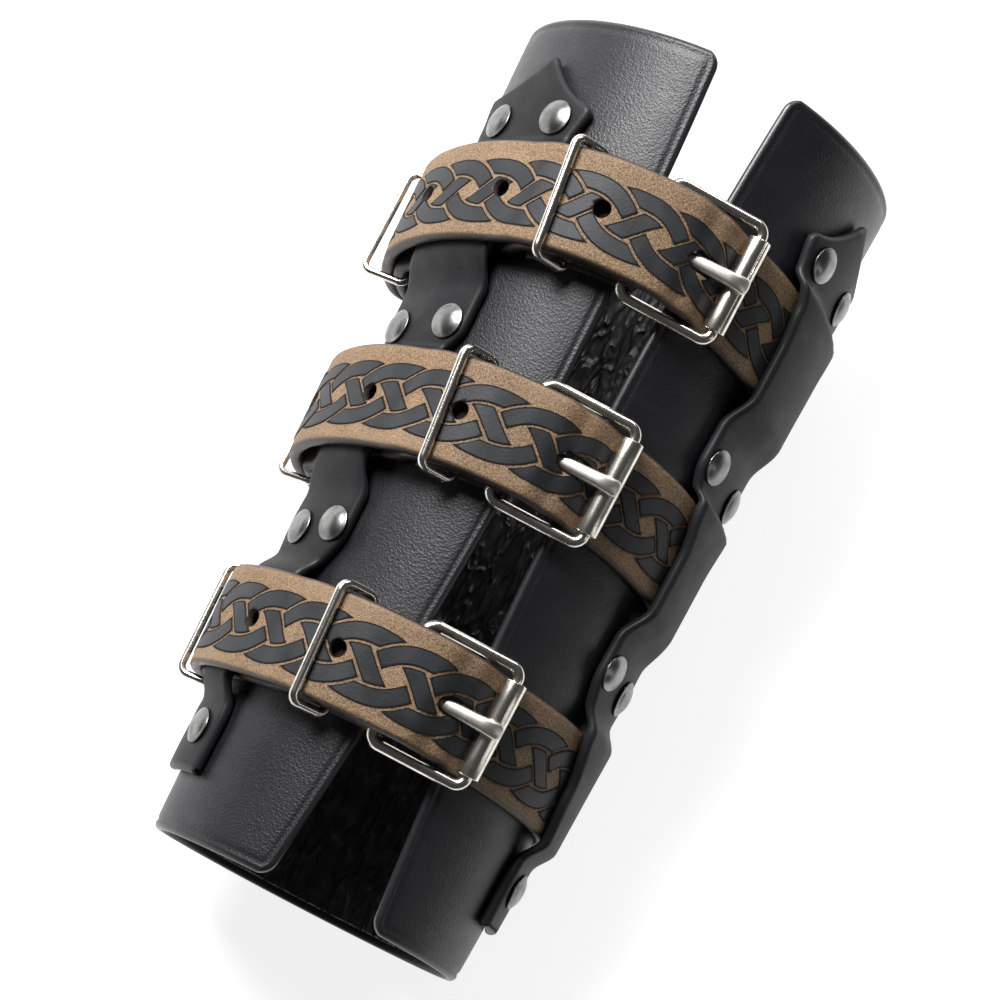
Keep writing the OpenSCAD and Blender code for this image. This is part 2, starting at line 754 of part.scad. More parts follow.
// A ring of wire round both layers of a strap, from the axis of its lower bar to its upper bar
ring_corner = 2.4;
module ring(k, wire, low_arc, low_off, high_arc, high_off) {
    low = -psi_at(low_arc, strap_row[k]);
    high = -psi_at(high_arc, strap_row[k]);
    a = pt(low, strap_y(k, low), low_off);
    b = pt(high, strap_y(k, high), high_off);
    e = across_dir(k, (low + high) / 2);
    v = b - a - e * ((b - a) * e);
    color(nickel)
        placed((a + b) / 2, unit(v), e, cross(unit(v), e))
            wire_loop(norm(v), ring_inner + wire, ring_corner, wire);
}

module keeper_ring(k) {
    ring(k, keeper_wire, keeper_low, ring_low_off, keeper_high, ring_high_off);
}

module side_ring(k) {
    ring(k, side_wire, side_arc[k], side_low_off, side_arc[k] + 1, side_top + side_stand[k]);
}

module elbow_keeper_ring() {
    keeper_ring(ELBOW);
}

module middle_keeper_ring() {
    keeper_ring(MIDDLE);
}

module wrist_keeper_ring() {
    keeper_ring(WRIST);
}

module elbow_side_ring() {
    side_ring(ELBOW);
}

module middle_side_ring() {
    side_ring(MIDDLE);
}

module wrist_side_ring() {
    side_ring(WRIST);
}

shell();
lining();
left_band();
right_band();
left_rivets();
right_rivets();
left_rivet_caps();
right_rivet_caps();
elbow_strap();
middle_strap();
wrist_strap();
fold_rivets();
elbow_frame();
middle_frame();
wrist_frame();
elbow_roller();
middle_roller();
wrist_roller();
elbow_prong();
middle_prong();
wrist_prong();
elbow_keeper_ring();
middle_keeper_ring();
wrist_keeper_ring();
elbow_side_ring();
middle_side_ring();
wrist_side_ring();
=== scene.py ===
# %% [markdown]
# # A leather bracer
#
# The bracer is a rolled cuff for the forearm. A stiff shell is open along its front, three buckled
# straps close it, and two side bands, riveted through the shell, hold the straps in place.
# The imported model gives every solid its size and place. This script dresses it: leather pieces are
# cut flat and then wrapped on the form, as a leather worker does, and the metal gets its finish.

# %% The frame
import math
import bmesh
import bpy
import numpy as np
from mathutils import Matrix, Vector


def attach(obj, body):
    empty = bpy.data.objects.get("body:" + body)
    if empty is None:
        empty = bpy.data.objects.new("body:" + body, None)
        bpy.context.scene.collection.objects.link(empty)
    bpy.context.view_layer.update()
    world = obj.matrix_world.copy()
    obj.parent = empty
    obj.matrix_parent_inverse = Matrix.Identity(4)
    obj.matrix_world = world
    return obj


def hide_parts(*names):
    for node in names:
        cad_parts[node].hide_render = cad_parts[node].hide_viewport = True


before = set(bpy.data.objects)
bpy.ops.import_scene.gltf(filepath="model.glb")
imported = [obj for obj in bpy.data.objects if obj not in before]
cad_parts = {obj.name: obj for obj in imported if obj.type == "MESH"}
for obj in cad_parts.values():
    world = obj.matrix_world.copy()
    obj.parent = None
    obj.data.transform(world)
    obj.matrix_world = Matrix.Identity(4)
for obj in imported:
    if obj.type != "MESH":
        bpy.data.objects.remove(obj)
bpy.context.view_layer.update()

# %% [markdown]
# ## The form
#
# The section of the arm is an oval with a flatter back. It is written as a support function, the
# distance of each tangent line from the middle, because offsets, normals and lengths round the
# section then come out exactly. Sizes are in millimetres and become metres at the very end.

# %% Sizes of the form
MM = 0.001
LENGTH = 230.0
WRIST_W, ELBOW_W, WRIST_H, ELBOW_H = 86.0, 106.0, 66.0, 90.0
LOBE_WRIST, LOBE_ELBOW = 0.045, 0.055  # how much the back is flattened
SHELL_T, LINING_T, BAND_T = 2.6, 1.0, 3.0
STRAP_W, STRAP_T, SKIVED_T = 27.5, 3.2, 1.6  # a strap, and how thin it is in its fold
GLUE, SEAT = 0.2, 0.3  # the gap under the lining, and between parts that lie on each other
SQUASHED = 0.5  # how much a strap gives where the bracer rests on it
LIFT = SEAT + STRAP_T - SQUASHED
PSI_SPAN, HALVINGS = (-10.0, 520.0), 34


def mix(a, b, t):
    return a + (b - a) * t


def soft(t):
    """A step from 0 to 1 that starts and ends level."""
    return (1 - np.cos(np.pi * np.clip(t, 0, 1))) / 2


def terms(y):
    """The terms of the section's support function at place y."""
    t = y / LENGTH
    half_w, half_h = mix(WRIST_W, ELBOW_W, t) / 2, mix(WRIST_H, ELBOW_H, t) / 2
    a0, a2 = (half_w + half_h) / 2, (half_h - half_w) / 2
    a3 = mix(LOBE_WRIST, LOBE_ELBOW, t) * a0
    return a0, a0 + a2 - a3, a2, a3


def spot(psi, y, off):
    """Points over the form: psi is the angle from the front, y the place from the wrist end."""
    psi, y, off = np.broadcast_arrays(np.radians(psi), np.asarray(y, float), off)
    a0, a1, a2, a3 = terms(y)
    high = a0 + a1 * np.cos(psi) + a2 * np.cos(2 * psi) + a3 * np.cos(3 * psi) + off
    turn = -a1 * np.sin(psi) - 2 * a2 * np.sin(2 * psi) - 3 * a3 * np.sin(3 * psi)
    return np.stack([high * np.sin(psi) + turn * np.cos(psi), y - LENGTH / 2,
                     high * np.cos(psi) - turn * np.sin(psi) + LIFT], -1)


def arc_at(psi, y):
    """Length along the section from its front to the angle psi."""
    a0, _, a2, a3 = terms(y)
    turn = np.radians(psi)
    return a0 * turn - 1.5 * a2 * np.sin(2 * turn) - 8 / 3 * a3 * np.sin(3 * turn)


def psi_at(arc, y):
    """The angle at that length, found by halving a span of angles."""
    arc, y = np.broadcast_arrays(np.asarray(arc, float), np.asarray(y, float))
    low, high = (np.full(arc.shape, end) for end in PSI_SPAN)
    for _ in range(HALVINGS):
        middle = (low + high) / 2
        short = arc_at(middle, y) < arc
        low, high = np.where(short, middle, low), np.where(short, high, middle)
    return (low + high) / 2


def girth(y):
    return arc_at(360.0, y)


def unit(v):
    return v / np.linalg.norm(v, axis=-1, keepdims=True)


def along_dir(psi, y):
    """Direction along the arm on the face of the form."""
    return unit(spot(psi, y + 1.0, 0) - spot(psi, y - 1.0, 0))


def face_dir(psi, y):
    """Direction square to the face of the form, outwards."""
    turn = math.radians(float(psi))
    flat = np.array([math.cos(turn), 0, -math.sin(turn)])
    return unit(np.cross(flat, along_dir(float(psi), y)))


print("girth at wrist and elbow:", round(float(girth(0.0))), round(float(girth(LENGTH))), "mm")

# %% [markdown]
# ## Cutting and wrapping
#
# Every leather piece starts as a flat slab: a grid is extruded once, which gives a front, a back and
# a rim. The lines of the grid are close together near the rim, so that the edges can be rounded
# there. Each piece then says where a point of the slab goes. The distance from the rim is kept as an
# attribute of the points, and the leather reads it to show a burnished edge.

# %% Slab and finish of a mesh
EDGE_DRAW, MERGE = 0.86, 1e-7  # how thin a rounded rim gets, and when two points are one


def eased(count):
    """Places from 0 to 1 that lie closer together at both ends."""
    return 0.5 - 0.5 * np.cos(np.pi * np.arange(count + 1) / count)


def slab(columns, rows, along=None):
    """A flat slab whose points run 0 to 1 in x, y and z. along places its lines in y."""
    bm = bmesh.new()
    bmesh.ops.create_grid(bm, x_segments=columns, y_segments=rows, size=0.5)
    across = eased(columns)
    along = eased(rows) if along is None else along
    for v in bm.verts:
        v.co.x = across[round((v.co.x + 0.5) * columns)]
        v.co.y = along[round((v.co.y + 0.5) * rows)]
    grown = bmesh.ops.extrude_face_region(bm, geom=bm.faces[:])
    for v in (g for g in grown["geom"] if isinstance(g, bmesh.types.BMVert)):
        v.co.z = 1.0
    return bm


def points_of(bm):
    return np.array([v.co for v in bm.verts])


def place(bm, points, rim):
    """Moves the points, given in millimetres, and keeps their distance from the rim."""
    layer = bm.verts.layers.float.new("rim")
    for i, v in enumerate(bm.verts):
        v.co = Vector(points[i]) * MM
        v[layer] = float(rim[i])


def rounded(level, rim, radius):
    """Shares of the thickness, 0 at the back and 1 at the front, drawn together near the rim."""
    near = np.clip(1 - rim / radius, 0, 1)
    drawn = 1 - np.sqrt(np.clip(1 - near * near, 0, 1))
    return 0.5 + (level - 0.5) * (1 - EDGE_DRAW * drawn)


def sealed(bm):
    """Merges points that lie on one another and closes the holes that are left."""
    bmesh.ops.remove_doubles(bm, verts=bm.verts, dist=MERGE)
    bmesh.ops.holes_fill(bm, edges=[e for e in bm.edges if e.is_boundary])
    return bm


def add_part(bm, part):
    """Moves the mesh of part into bm."""
    mesh = bpy.data.meshes.new("part")
    part.to_mesh(mesh)
    part.free()
    bm.from_mesh(mesh)
    bpy.data.meshes.remove(mesh)


def finished(bm, name, *materials, crease=None):
    """Turns a bmesh into a smooth object of that name. Edges steeper than crease stay sharp."""
    bmesh.ops.recalc_face_normals(bm, faces=bm.faces[:])
    mesh = bpy.data.meshes.new(name)
    bm.to_mesh(mesh)
    bm.free()
    mesh.shade_smooth()
    if crease is not None:
        mesh.set_sharp_from_angle(angle=math.radians(crease))
    for material in materials:
        mesh.materials.append(material)
    piece = bpy.data.objects.new(name, mesh)
    bpy.context.scene.collection.objects.link(piece)
    return piece


print("a rounded rim loses", EDGE_DRAW, "of its thickness at its very edge")

# %% [markdown]
# ## Shader maths in Python
#
# A material is a graph of nodes. Wrapping a socket in a small class lets an expression such as
# `1 - mask * 0.4` add its own Math nodes, so that a finish reads like a formula. Patterns read Object
# coordinates, which are metres here, so a scale of 1500 gives about 1500 grains to the metre.

# %% A socket that can be added and multiplied
class Wire:
    def __init__(self, finish, socket):
        self.finish, self.socket = finish, socket

    def math(self, operation, *others, flip=False):
        values = [self, *others][::-1] if flip else [self, *others]
        return self.finish.node("Math", {"operation": operation}, *values)

    def __add__(self, other):
        return self.math("ADD", other)

    def __sub__(self, other):
        return self.math("SUBTRACT", other)

    def __rsub__(self, other):
        return self.math("SUBTRACT", other, flip=True)

    def __mul__(self, other):
        return self.math("MULTIPLY", other)

    __radd__, __rmul__ = __add__, __mul__

    def __pow__(self, other):
        return self.math("POWER", other)

    def most(self, other):
        return self.math("MAXIMUM", other)

    def between(self, low, high):
        """0 at low, 1 at high and soft in between."""
        settings = {"interpolation_type": "SMOOTHSTEP"}
        return self.finish.node("MapRange", settings, Value=self, **{"From Min": low, "From Max": high})


class Finish:
    """A material that is being made: its nodes, its Principled shader and its coordinates."""

    def __init__(self, name):
        self.material = bpy.data.materials.new(name)
        self.material.use_nodes = True
        self.tree = self.material.node_tree
        self.shader = self.tree.nodes["Principled BSDF"]
        self.here = self.node("TexCoord", {}, out="Object")

    def node(self, kind, settings, *values, out=0, **named):
        made = self.tree.nodes.new("ShaderNode" + kind)
        for key, setting in settings.items():
            setattr(made, key, setting)
        for key, value in [*enumerate(values), *named.items()]:
            self.join(made.inputs[key], value)
        return Wire(self, made.outputs[out])

    def join(self, socket, value):
        if isinstance(value, Wire):
            self.tree.links.new(value.socket, socket)
        elif isinstance(value, tuple) and len(socket.default_value) == 4:
            socket.default_value = (*value, 1.0)
        else:
            socket.default_value = value

    def noise(self, scale, detail=3.0, rough=0.5, twist=0.0, at=None):
        return self.node("TexNoise", {}, out="Fac", Vector=at or self.here, Scale=scale,
                         Detail=detail, Roughness=rough, Distortion=twist)

    def cells(self, scale):
        return self.node("TexVoronoi", {}, out="Distance", Vector=self.here, Scale=scale)

    def stretched(self, scale):
        return self.node("Mapping", {}, out="Vector", Vector=self.here, Scale=scale)

    def kept(self, attribute):
        return self.node("Attribute", {"attribute_name": attribute}, out="Fac")

    def blend(self, first, second, share):
        made = self.tree.nodes.new("ShaderNodeMix")
        made.data_type = "RGBA"
        self.join(made.inputs[0], share)
        self.join(made.inputs[6], first)
        self.join(made.inputs[7], second)
        return Wire(self, made.outputs[2])

    def bump(self, height, depth, strength=1.0):
        return self.node("Bump", {}, out="Normal", Height=height, Distance=depth, Strength=strength)

    def done(self, **sockets):
        """Sets the shader's sockets, named with _ for each space."""
        for key, value in sockets.items():
            self.join(self.shader.inputs[key.replace("_", " ")], value)
        return self.material


print("wires and finishes are ready")

# %% [markdown]
# ## Black leather
#
# The shell is vegetable-tanned hide dyed black. Its grain is a field of small rounded cells with fine
# creases between them, and it is lit softly because the dye leaves it satin. Cut edges are rubbed with
# gum until they shine, so the finish turns smoother where the rim attribute is small.

# %% Finish of the shell and the bands
RUBBED_DYE, CUT_DYE, SHADED = (0.03, 0.029, 0.031), (0.02, 0.0195, 0.021), 0.6


def black_leather(name, grain, depth, sheen, shine, tint):
    """grain is its cells in a metre, depth their height in metres, sheen the roughness."""
    f = Finish(name)
    drift = f.noise(24.0)
    pebbles = f.cells(grain) * 0.65 + f.cells(grain * 1.9) * 0.35
    creases = f.noise(grain * 1.4, 3.0, 0.55)
    rim = f.kept("rim").between(0.3, 1.6)
    rubbed = f.noise(140.0, 4.0).between(0.45, 0.75)
    shade = tuple(part * SHADED for part in tint)
    colour = f.blend(shade, tint, drift.between(0.3, 0.7))
    colour = f.blend(colour, RUBBED_DYE, rubbed * 0.25)
    colour = f.blend(CUT_DYE, colour, rim)
    rough = sheen + drift * 0.12 - rubbed * 0.05 - (1 - rim) * 0.12
    relief = (pebbles * 0.75 + creases * 0.25) * rim
    return f.done(Base_Color=colour, Roughness=rough, Specular_IOR_Level=shine,
                  Normal=f.bump(relief, depth))


SHELL_LEATHER = black_leather("shell leather", grain=1500.0, depth=0.00013, sheen=0.37, shine=0.50,
                              tint=(0.0085, 0.0085, 0.0115))
BAND_LEATHER = black_leather("band leather", grain=1600.0, depth=0.00008, sheen=0.48, shine=0.26,
                             tint=(0.008, 0.008, 0.0095))
print("black leathers made")

# %% [markdown]
# ## Crinkled lining
#
# The lining is thin glossy skin that was crushed before it was glued in. Long twisted ridges catch the
# light, and their colour is made lighter along them: a painted highlight. Two stretched noises, one wide
# and one fine, give the folds, and the gloss does the rest.

# %% Finish of the lining
SKIN_LOW, SKIN_RIDGE_HIGHLIGHT, FOLD_DEPTH = (0.013, 0.013, 0.014), (0.050, 0.050, 0.053), 0.0014


def crinkled_leather():
    f = Finish("lining leather")
    wide = f.noise(320.0, 1.5, 0.5, 0.5, f.stretched((1.0, 0.32, 1.0)))
    fine = f.noise(700.0, 3.0, 0.5, 0.2, f.stretched((1.0, 0.55, 1.0)))
    ridges = (1 - (wide - 0.5).math("ABSOLUTE") * 5.0).most(0.0) ** 1.4
    folds = ridges * 0.65 + wide * 0.2 + fine * 0.15
    # Painted highlight: the skin is coloured lighter along the ridges, where they catch the light.
    return f.done(Base_Color=f.blend(SKIN_LOW, SKIN_RIDGE_HIGHLIGHT, ridges), Roughness=0.42 + fine * 0.12,
                  Specular_IOR_Level=0.7, Normal=f.bump(folds, FOLD_DEPTH))


LINING_LEATHER = crinkled_leather()
print("lining made")

# %% [markdown]
# ## Brown strap leather and its dark ribbons
#
# The ground of the strap is stippled with a punch and dyed light brown, so the dye gathers in the pits.
# The ribbons of the braid are left smooth and painted black, with a dark line along their edges: painted
# shade of the groove round each ribbon.
# Where a strap lies under its own upper layer, its colour is made nearly black: painted shade.

# %% Finishes of the straps
SPECK_DARK, SPECK_LIGHT, SUNNED = (0.094, 0.054, 0.027), (0.288, 0.184, 0.102), (0.34, 0.230, 0.138)
PIT_DYE, EDGE_DYE, UNDER_LAYER_SHADE = (0.080, 0.046, 0.024), (0.024, 0.014, 0.009), (0.010, 0.007, 0.005)
FIBRE_SHADE_DARK, FIBRE_SHADE_LIGHT = (0.006, 0.004, 0.003), (0.035, 0.022, 0.013)
PAINT_DARK, PAINT_LIGHT = (0.011, 0.012, 0.014), (0.022, 0.0235, 0.027)
PAINT_WORN, GROOVE_SHADE_LINE = (0.050, 0.046, 0.042), (0.002, 0.002, 0.002)


def stippled_leather():
    """The brown ground. It has painted shade, nearly black, where it lies out of sight under its own upper
    layer.
    """
    f = Finish("strap leather")
    specks = f.noise(2700.0, 2.0, 0.6, 0.4)
    pits = f.cells(1300.0)
    drift = f.noise(45.0)
    rim = f.kept("rim").between(0.25, 1.3)
    light = f.blend(SPECK_DARK, SPECK_LIGHT, specks.between(0.36, 0.62))
    light = f.blend(light, SUNNED, drift.between(0.42, 0.78) * 0.35)
    colour = f.blend(PIT_DYE, light, pits.between(0.02, 0.24) * 0.65 + 0.35)
    colour = f.blend(EDGE_DYE, colour, rim)
    # Painted shade: nearly black where the strap lies under its own upper layer.
    colour = f.blend(colour, UNDER_LAYER_SHADE, f.kept("painted_shade") * 0.94)
    return f.done(Base_Color=colour, Roughness=0.74 - (1 - rim) * 0.28 - drift * 0.1,
                  Normal=f.bump(pits * rim * 0.5 + specks, 0.00020, 0.8))


def hole_shade_leather():
    """The raw wall of a punched hole, with its fibres, coloured nearly black: painted shade inside the
    hole.
    """
    f = Finish("hole wall shade")
    fibres = f.noise(1900.0)
    return f.done(Base_Color=f.blend(FIBRE_SHADE_DARK, FIBRE_SHADE_LIGHT, fibres), Roughness=0.9,
                  Normal=f.bump(fibres, 0.0002, 0.8))


def ribbon_leather():
    """Smooth black paint, with a dark line along the rim of each ribbon: painted shade of the groove round
    it.
    """
    f = Finish("ribbon leather")
    drift = f.noise(110.0)
    pores = f.noise(1700.0)
    worn = f.noise(420.0, 4.0).between(0.55, 0.8)
    rim = f.kept("rim").between(0.24, 0.46)
    colour = f.blend(PAINT_DARK, PAINT_LIGHT, drift.between(0.35, 0.7))
    colour = f.blend(colour, PAINT_WORN, worn * 0.3)
    # Painted shade: the rim of each ribbon is nearly black, standing for the shadow in the groove round it.
    colour = f.blend(GROOVE_SHADE_LINE, colour, rim)
    return f.done(Base_Color=colour, Roughness=0.46 + drift * 0.12 + (1 - rim) * 0.4,
                  Specular_IOR_Level=0.4, Normal=f.bump(pores, 0.00009, 0.6))


STRAP_LEATHER = stippled_leather()
RIBBON_LEATHER = ribbon_leather()
HOLE_SHADE_LEATHER = hole_shade_leather()
print("strap leathers made")

# %% [markdown]
# ## Nickel and pewter
#
# The buckles are steel wire plated with nickel: a warm, bright metal with fine drawing marks and a
# little haze. The rivets are older-looking: a grey metal with darker patches and soft wear on top.

# %% Finishes of the metal
PLATE_BRIGHT, PLATE_HAZE, PLATE_STAIN = (0.80, 0.765, 0.70), (0.62, 0.585, 0.52), (0.30, 0.27, 0.23)
PEWTER_DARK, PEWTER_LIGHT = (0.14, 0.14, 0.138), (0.29, 0.29, 0.283)
EVEN, DRAWN_OUT = (1.0, 1.0, 1.0), (4.0, 0.15, 1.0)


def nickel(name, rough, marks, stretch):
    """marks is how much the drawing marks roughen it, stretch their shape."""
    f = Finish(name)
    haze = f.noise(260.0, 4.0, 0.6)
    lines = f.noise(1400.0, 3.0, 0.6, 0.0, f.stretched(stretch))
    stain = f.noise(520.0).between(0.58, 0.8)
    colour = f.blend(PLATE_BRIGHT, PLATE_HAZE, haze.between(0.35, 0.7))
    colour = f.blend(colour, PLATE_STAIN, stain * 0.35)
    return f.done(Base_Color=colour, Metallic=1.0, Roughness=rough + haze * 0.08 + lines * marks,
                  Normal=f.bump(lines, 0.00003, 0.5))


def pewter():
    f = Finish("rivet pewter")
    patches = f.noise(260.0).between(0.2, 0.8)
    fine = f.noise(2400.0)
    return f.done(Base_Color=f.blend(PEWTER_DARK, PEWTER_LIGHT, patches), Metallic=1.0,
                  Roughness=0.26 + (1 - patches) * 0.10, Normal=f.bump(fine, 0.00005, 0.5))


NICKEL = nickel("nickel wire", 0.13, 0.10, EVEN)
ROLLER_NICKEL = nickel("nickel roller", 0.13, 0.12, DRAWN_OUT)
PRONG_NICKEL = nickel("nickel prong", 0.30, 0.10, EVEN)
PEWTER = pewter()
print("metals made")

# %% [markdown]
# ## The shell
#
# The shell is one piece of thick hide, wrapped almost all the way round. Its two front edges form an
# hourglass gap with rounded corners at both ends. The slab is laid out by arc length, so the hide
# is never stretched on paper, and its rim is rounded with an edge tool.

# %% Shell and lining
GAP_WAIST, GAP_ELBOW, GAP_WRIST, WAIST_AT, CORNER = 12.8, 20.6, 29.6, 0.587, 4.0
ELBOW_RELIEF, RELIEF_FROM, RELIEF_SIDE = 9.0, 0.8, 0.2
CREASE, CREASE_AT, CREASE_W = 0.13, 1.3, 0.5  # the groove beside the rim: depth, place in radii, width
SHELL_EDGE, LINING_EDGE, LINING_INSET, HIDE_GRID = 1.8, 0.4, 2.0, (132, 96)


def half_gap(y):
    """Half the width of the front gap, with the round of its corners at both ends."""
    t = y / LENGTH
    up = mix(GAP_WAIST, GAP_ELBOW, ((t - WAIST_AT) / (1 - WAIST_AT)) ** 2)
    down = mix(GAP_WAIST, GAP_WRIST, ((WAIST_AT - t) / WAIST_AT) ** 2)
    near = np.clip(CORNER - np.minimum(y, LENGTH - y), 0, CORNER)
    return np.where(t > WAIST_AT, up, down) / 2 + CORNER - np.sqrt(CORNER ** 2 - near ** 2)


def back_y(psi, y):
    """The elbow end is cut back behind the arm."""
    share = soft((-np.cos(np.radians(psi)) - RELIEF_SIDE) / (1 - RELIEF_SIDE))
    return y - ELBOW_RELIEF * share * np.maximum(0, (y / LENGTH - RELIEF_FROM) / (1 - RELIEF_FROM))


def rolled(name, inset, top, thick, radius, material):
    """A hide on the form, inset from the shell's rim, with its outer face at height top."""
    bm = slab(*HIDE_GRID)
    u, v, w = points_of(bm).T
    y = mix(inset, LENGTH - inset, v)
    start = half_gap(y) + inset
    stop = girth(y) - start
    arc = mix(start, stop, u)
    rim = np.minimum(np.minimum(arc - start, stop - arc), np.minimum(y - inset, LENGTH - inset - y))
    groove = CREASE * np.exp(-((rim - CREASE_AT * radius) / CREASE_W) ** 2)
    level = rounded(w, rim, radius) - np.where(w > 0.5, groove, 0)
    psi = psi_at(arc, y)
    place(bm, spot(psi, back_y(psi, y), top - thick * (1 - level)), rim)
    return finished(bm, name, material)


shell = rolled("shell_leather", 0.0, 0.0, SHELL_T, SHELL_EDGE, SHELL_LEATHER)
lining = rolled("lining_leather", LINING_INSET, -SHELL_T - GLUE, LINING_T, LINING_EDGE, LINING_LEATHER)
for piece, node, slot in ((shell, "shell", "black_leather"), (lining, "lining", "lining_leather")):
    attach(piece, "bracer")
    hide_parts(node)
print("shell and lining:", len(shell.data.polygons), len(lining.data.polygons), "faces")

# %% [markdown]
# ## The side bands
#
# Each band runs the length of the shell over the straps. It is narrow where it bridges a strap and
# wide where it is riveted, and it ends in a point between two shoulders. Its inner face lies on the
# shell and arches over each strap, so the height is a function of the distance to the nearest strap.

# %% Bands
STRAPS = ("elbow", "middle", "wrist")
STRAP_ROW, STRAP_LEAN = (179.5, 120.8, 55.8), (0.18, 0.14, 0.04)
ARCH, ARCH_ROOM, RAMP_UP, RAMP_DOWN = SEAT + STRAP_T, 0.2, (4.6, 3.4, 7.0), (11.0, 11.0, 7.0)
# Rows of the plan: place from the wrist end, arc of the band's middle, and half its width.
BAND_PLAN = np.array([
    (0, 57.5, 9.2), (18, 57, 9.2), (29, 56.2, 8.4), (40, 55.5, 6.2), (54, 54.5, 7), (70, 52.5, 9.3),
    (84, 51.6, 12.2), (93, 51.2, 11.6), (103, 51, 8.7), (118, 51, 8.6), (132, 50.8, 11.3),
    (142, 50.6, 14.4), (151, 50.8, 14.3), (162, 51.6, 12.9), (176, 51.9, 13.2), (186, 52, 14.4),
    (195, 52.3, 17.6), (204, 52.6, 19.4), (240, 52.8, 19.4)])
BAND_TOP, BAND_FOOT, POINT_H, HOLLOW, SHOULDER, SHOULDER_H = 13.0, 15.0, 11.5, 1.8, 0.86, 2.4
POINT_FROM, BODY_SHARE, POINT_SHARE = 197.0, 0.93, 0.07
BAND_EDGE, BAND_GRID, BODY_LINES, FOOT_LINES = 1.3, (26, 226), 210, 8


def table(plan, x, column):
    """Reads a plan with soft steps between its rows."""
    plan = np.asarray(plan, float)
    i = np.clip(np.searchsorted(plan[:, 0], x, side="right") - 1, 0, len(plan) - 2)
    t = soft((x - plan[i, 0]) / (plan[i + 1, 0] - plan[i, 0]))
    return mix(plan[i, column], plan[i + 1, column], t)


def strap_y(k, psi):
    """Place of the middle of strap k along the arm. It leans, so this changes with its height."""
    below = spot(0, STRAP_ROW[k], 0)[2] - spot(psi, STRAP_ROW[k], 0)[..., 2]
    return STRAP_ROW[k] - STRAP_LEAN[k] * below


def band_off(psi, y):
    """Height of the band's inner face over the shell: a seat, and an arch over each strap."""
    arches = []
    for k in range(3):
        d = y - strap_y(k, psi)
        past = np.abs(d) - STRAP_W / 2 - ARCH_ROOM
        arches.append(1 - soft(past / np.where(d > 0, RAMP_UP[k], RAMP_DOWN[k])))
    return SEAT + ARCH * np.max(arches, axis=0)


def point_y(side):
    """Where the band ends at its elbow end, for side from -1 to 1 across it."""
    out = np.clip((np.abs(side) - SHOULDER) / (1 - SHOULDER), 0, 1)
    return (LENGTH - BAND_TOP - POINT_H * (1 - (1 - np.abs(side)) ** HOLLOW)
            - SHOULDER_H * (1 - np.sqrt(1 - out * out)))


def band_lines():
    """Lines across the band: even over its body, closer together at its foot and its point."""
    body = np.linspace(0, BODY_SHARE, BODY_LINES)
    foot = body[1] * eased(FOOT_LINES) * 2
    foot = foot[foot < body[1]]
    point = eased(BAND_GRID[1] - (BODY_LINES - 2) - len(foot))
    return np.concatenate([foot, body[1:-1], mix(BODY_SHARE, 1, point)])


def band(side, name):
    """The band on one side, -1 for the left one."""
    bm = slab(*BAND_GRID, along=band_lines())
    u, v, w = points_of(bm).T
    s = 2 * u - 1
    body = mix(BAND_FOOT, POINT_FROM, v / BODY_SHARE)
    point = mix(POINT_FROM, point_y(s), (v - BODY_SHARE) / POINT_SHARE)
    y = np.where(v < BODY_SHARE, body, point)
    half = table(BAND_PLAN, y, 2)
    arc = table(BAND_PLAN, y, 1) + s * half
    rim = np.minimum(half * (1 - np.abs(s)), np.minimum(y - BAND_FOOT, point_y(s) - y))
    psi = psi_at(arc, y)
    level = rounded(w, rim, BAND_EDGE)
    place(bm, spot(side * psi, y, band_off(psi, y) + BAND_T * level), rim)
    return finished(bm, name, BAND_LEATHER)


for side, hand in ((-1, "left"), (1, "right")):
    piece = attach(band(side, hand + "_band_leather"), "bracer")
    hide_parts(hand + "_band")
print("bands made")

# %% [markdown]
# ## The straps
#
# A strap is folded round the heel bar of its buckle, runs down the left side, round the back and up the
# right side, passes under the roller, and lies over itself again down to its tip. Its course is a list
# of stations with an arc, a height and a thickness. The slab of the strap has one row for
# each station, so wrapping it is a matter of carrying each row to its station.

# %% Sizes of the straps and the buckles
HEEL_ARC, ROLLER_ARC, HOLE_ARC, SHIFT = 10.0, 12.5, 2.0, (4.5, 0.0, 2.0)
FRAME_WIRE, ROLLER_D, PRONG_D, EYE_W = 3.0, 6.0, 3.2, 4.4
KEEPER_WIRE, SIDE_WIRE = 2.5, 2.1
ROLLER_ROOM, KEEPER_ROOM, SIDE_ROOM = 0.5, 0.1, 0.3
FOLD_MID = SEAT + SKIVED_T / 2
FOLD_R = FRAME_WIRE / 2 + SEAT + SKIVED_T / 2
HEEL_OFF = FOLD_MID + FOLD_R
UNDER_MID = SEAT + STRAP_T / 2
ROLLER_OFF = UNDER_MID + STRAP_T / 2 + ROLLER_ROOM + ROLLER_D / 2
OVER_FOLD = HEEL_OFF + FOLD_R + SKIVED_T / 2 + SEAT + STRAP_T / 2
OVER_RING = FOLD_MID + SKIVED_T / 2 + KEEPER_WIRE + 2 * SEAT + KEEPER_ROOM + STRAP_T / 2
BILLET_HIGH = OVER_RING + STRAP_T + SEAT
SIDE_OVER = SIDE_WIRE + 2 * SEAT + SIDE_ROOM + STRAP_T / 2
OVER_BAND = SEAT + ARCH + BAND_T + UNDER_MID
SIDE_ARC, SIDE_TIP = (85.0, 84.0, 72.5), 22.0  # each side ring, and the strap's tip past it
SIDE_RISE, SIDE_NEAR, SIDE_PAST, SIDE_DOWN = 9.5, 3.5, 8.0, 14.0
SKIVE_ARC, SKIVE_END, FOLD_END, LEVEL_END, FLAT_FROM = 14.4, 19.4, 31.0, 28.0, 38.0
FIRST_HOLE, HOLE_STEP, HOLE_D = (15.6, 22.0, 21.0), 24.5, 4.6
print("heel bar at", round(HEEL_OFF, 2), "and roller at", round(ROLLER_OFF, 2), "mm over the shell")


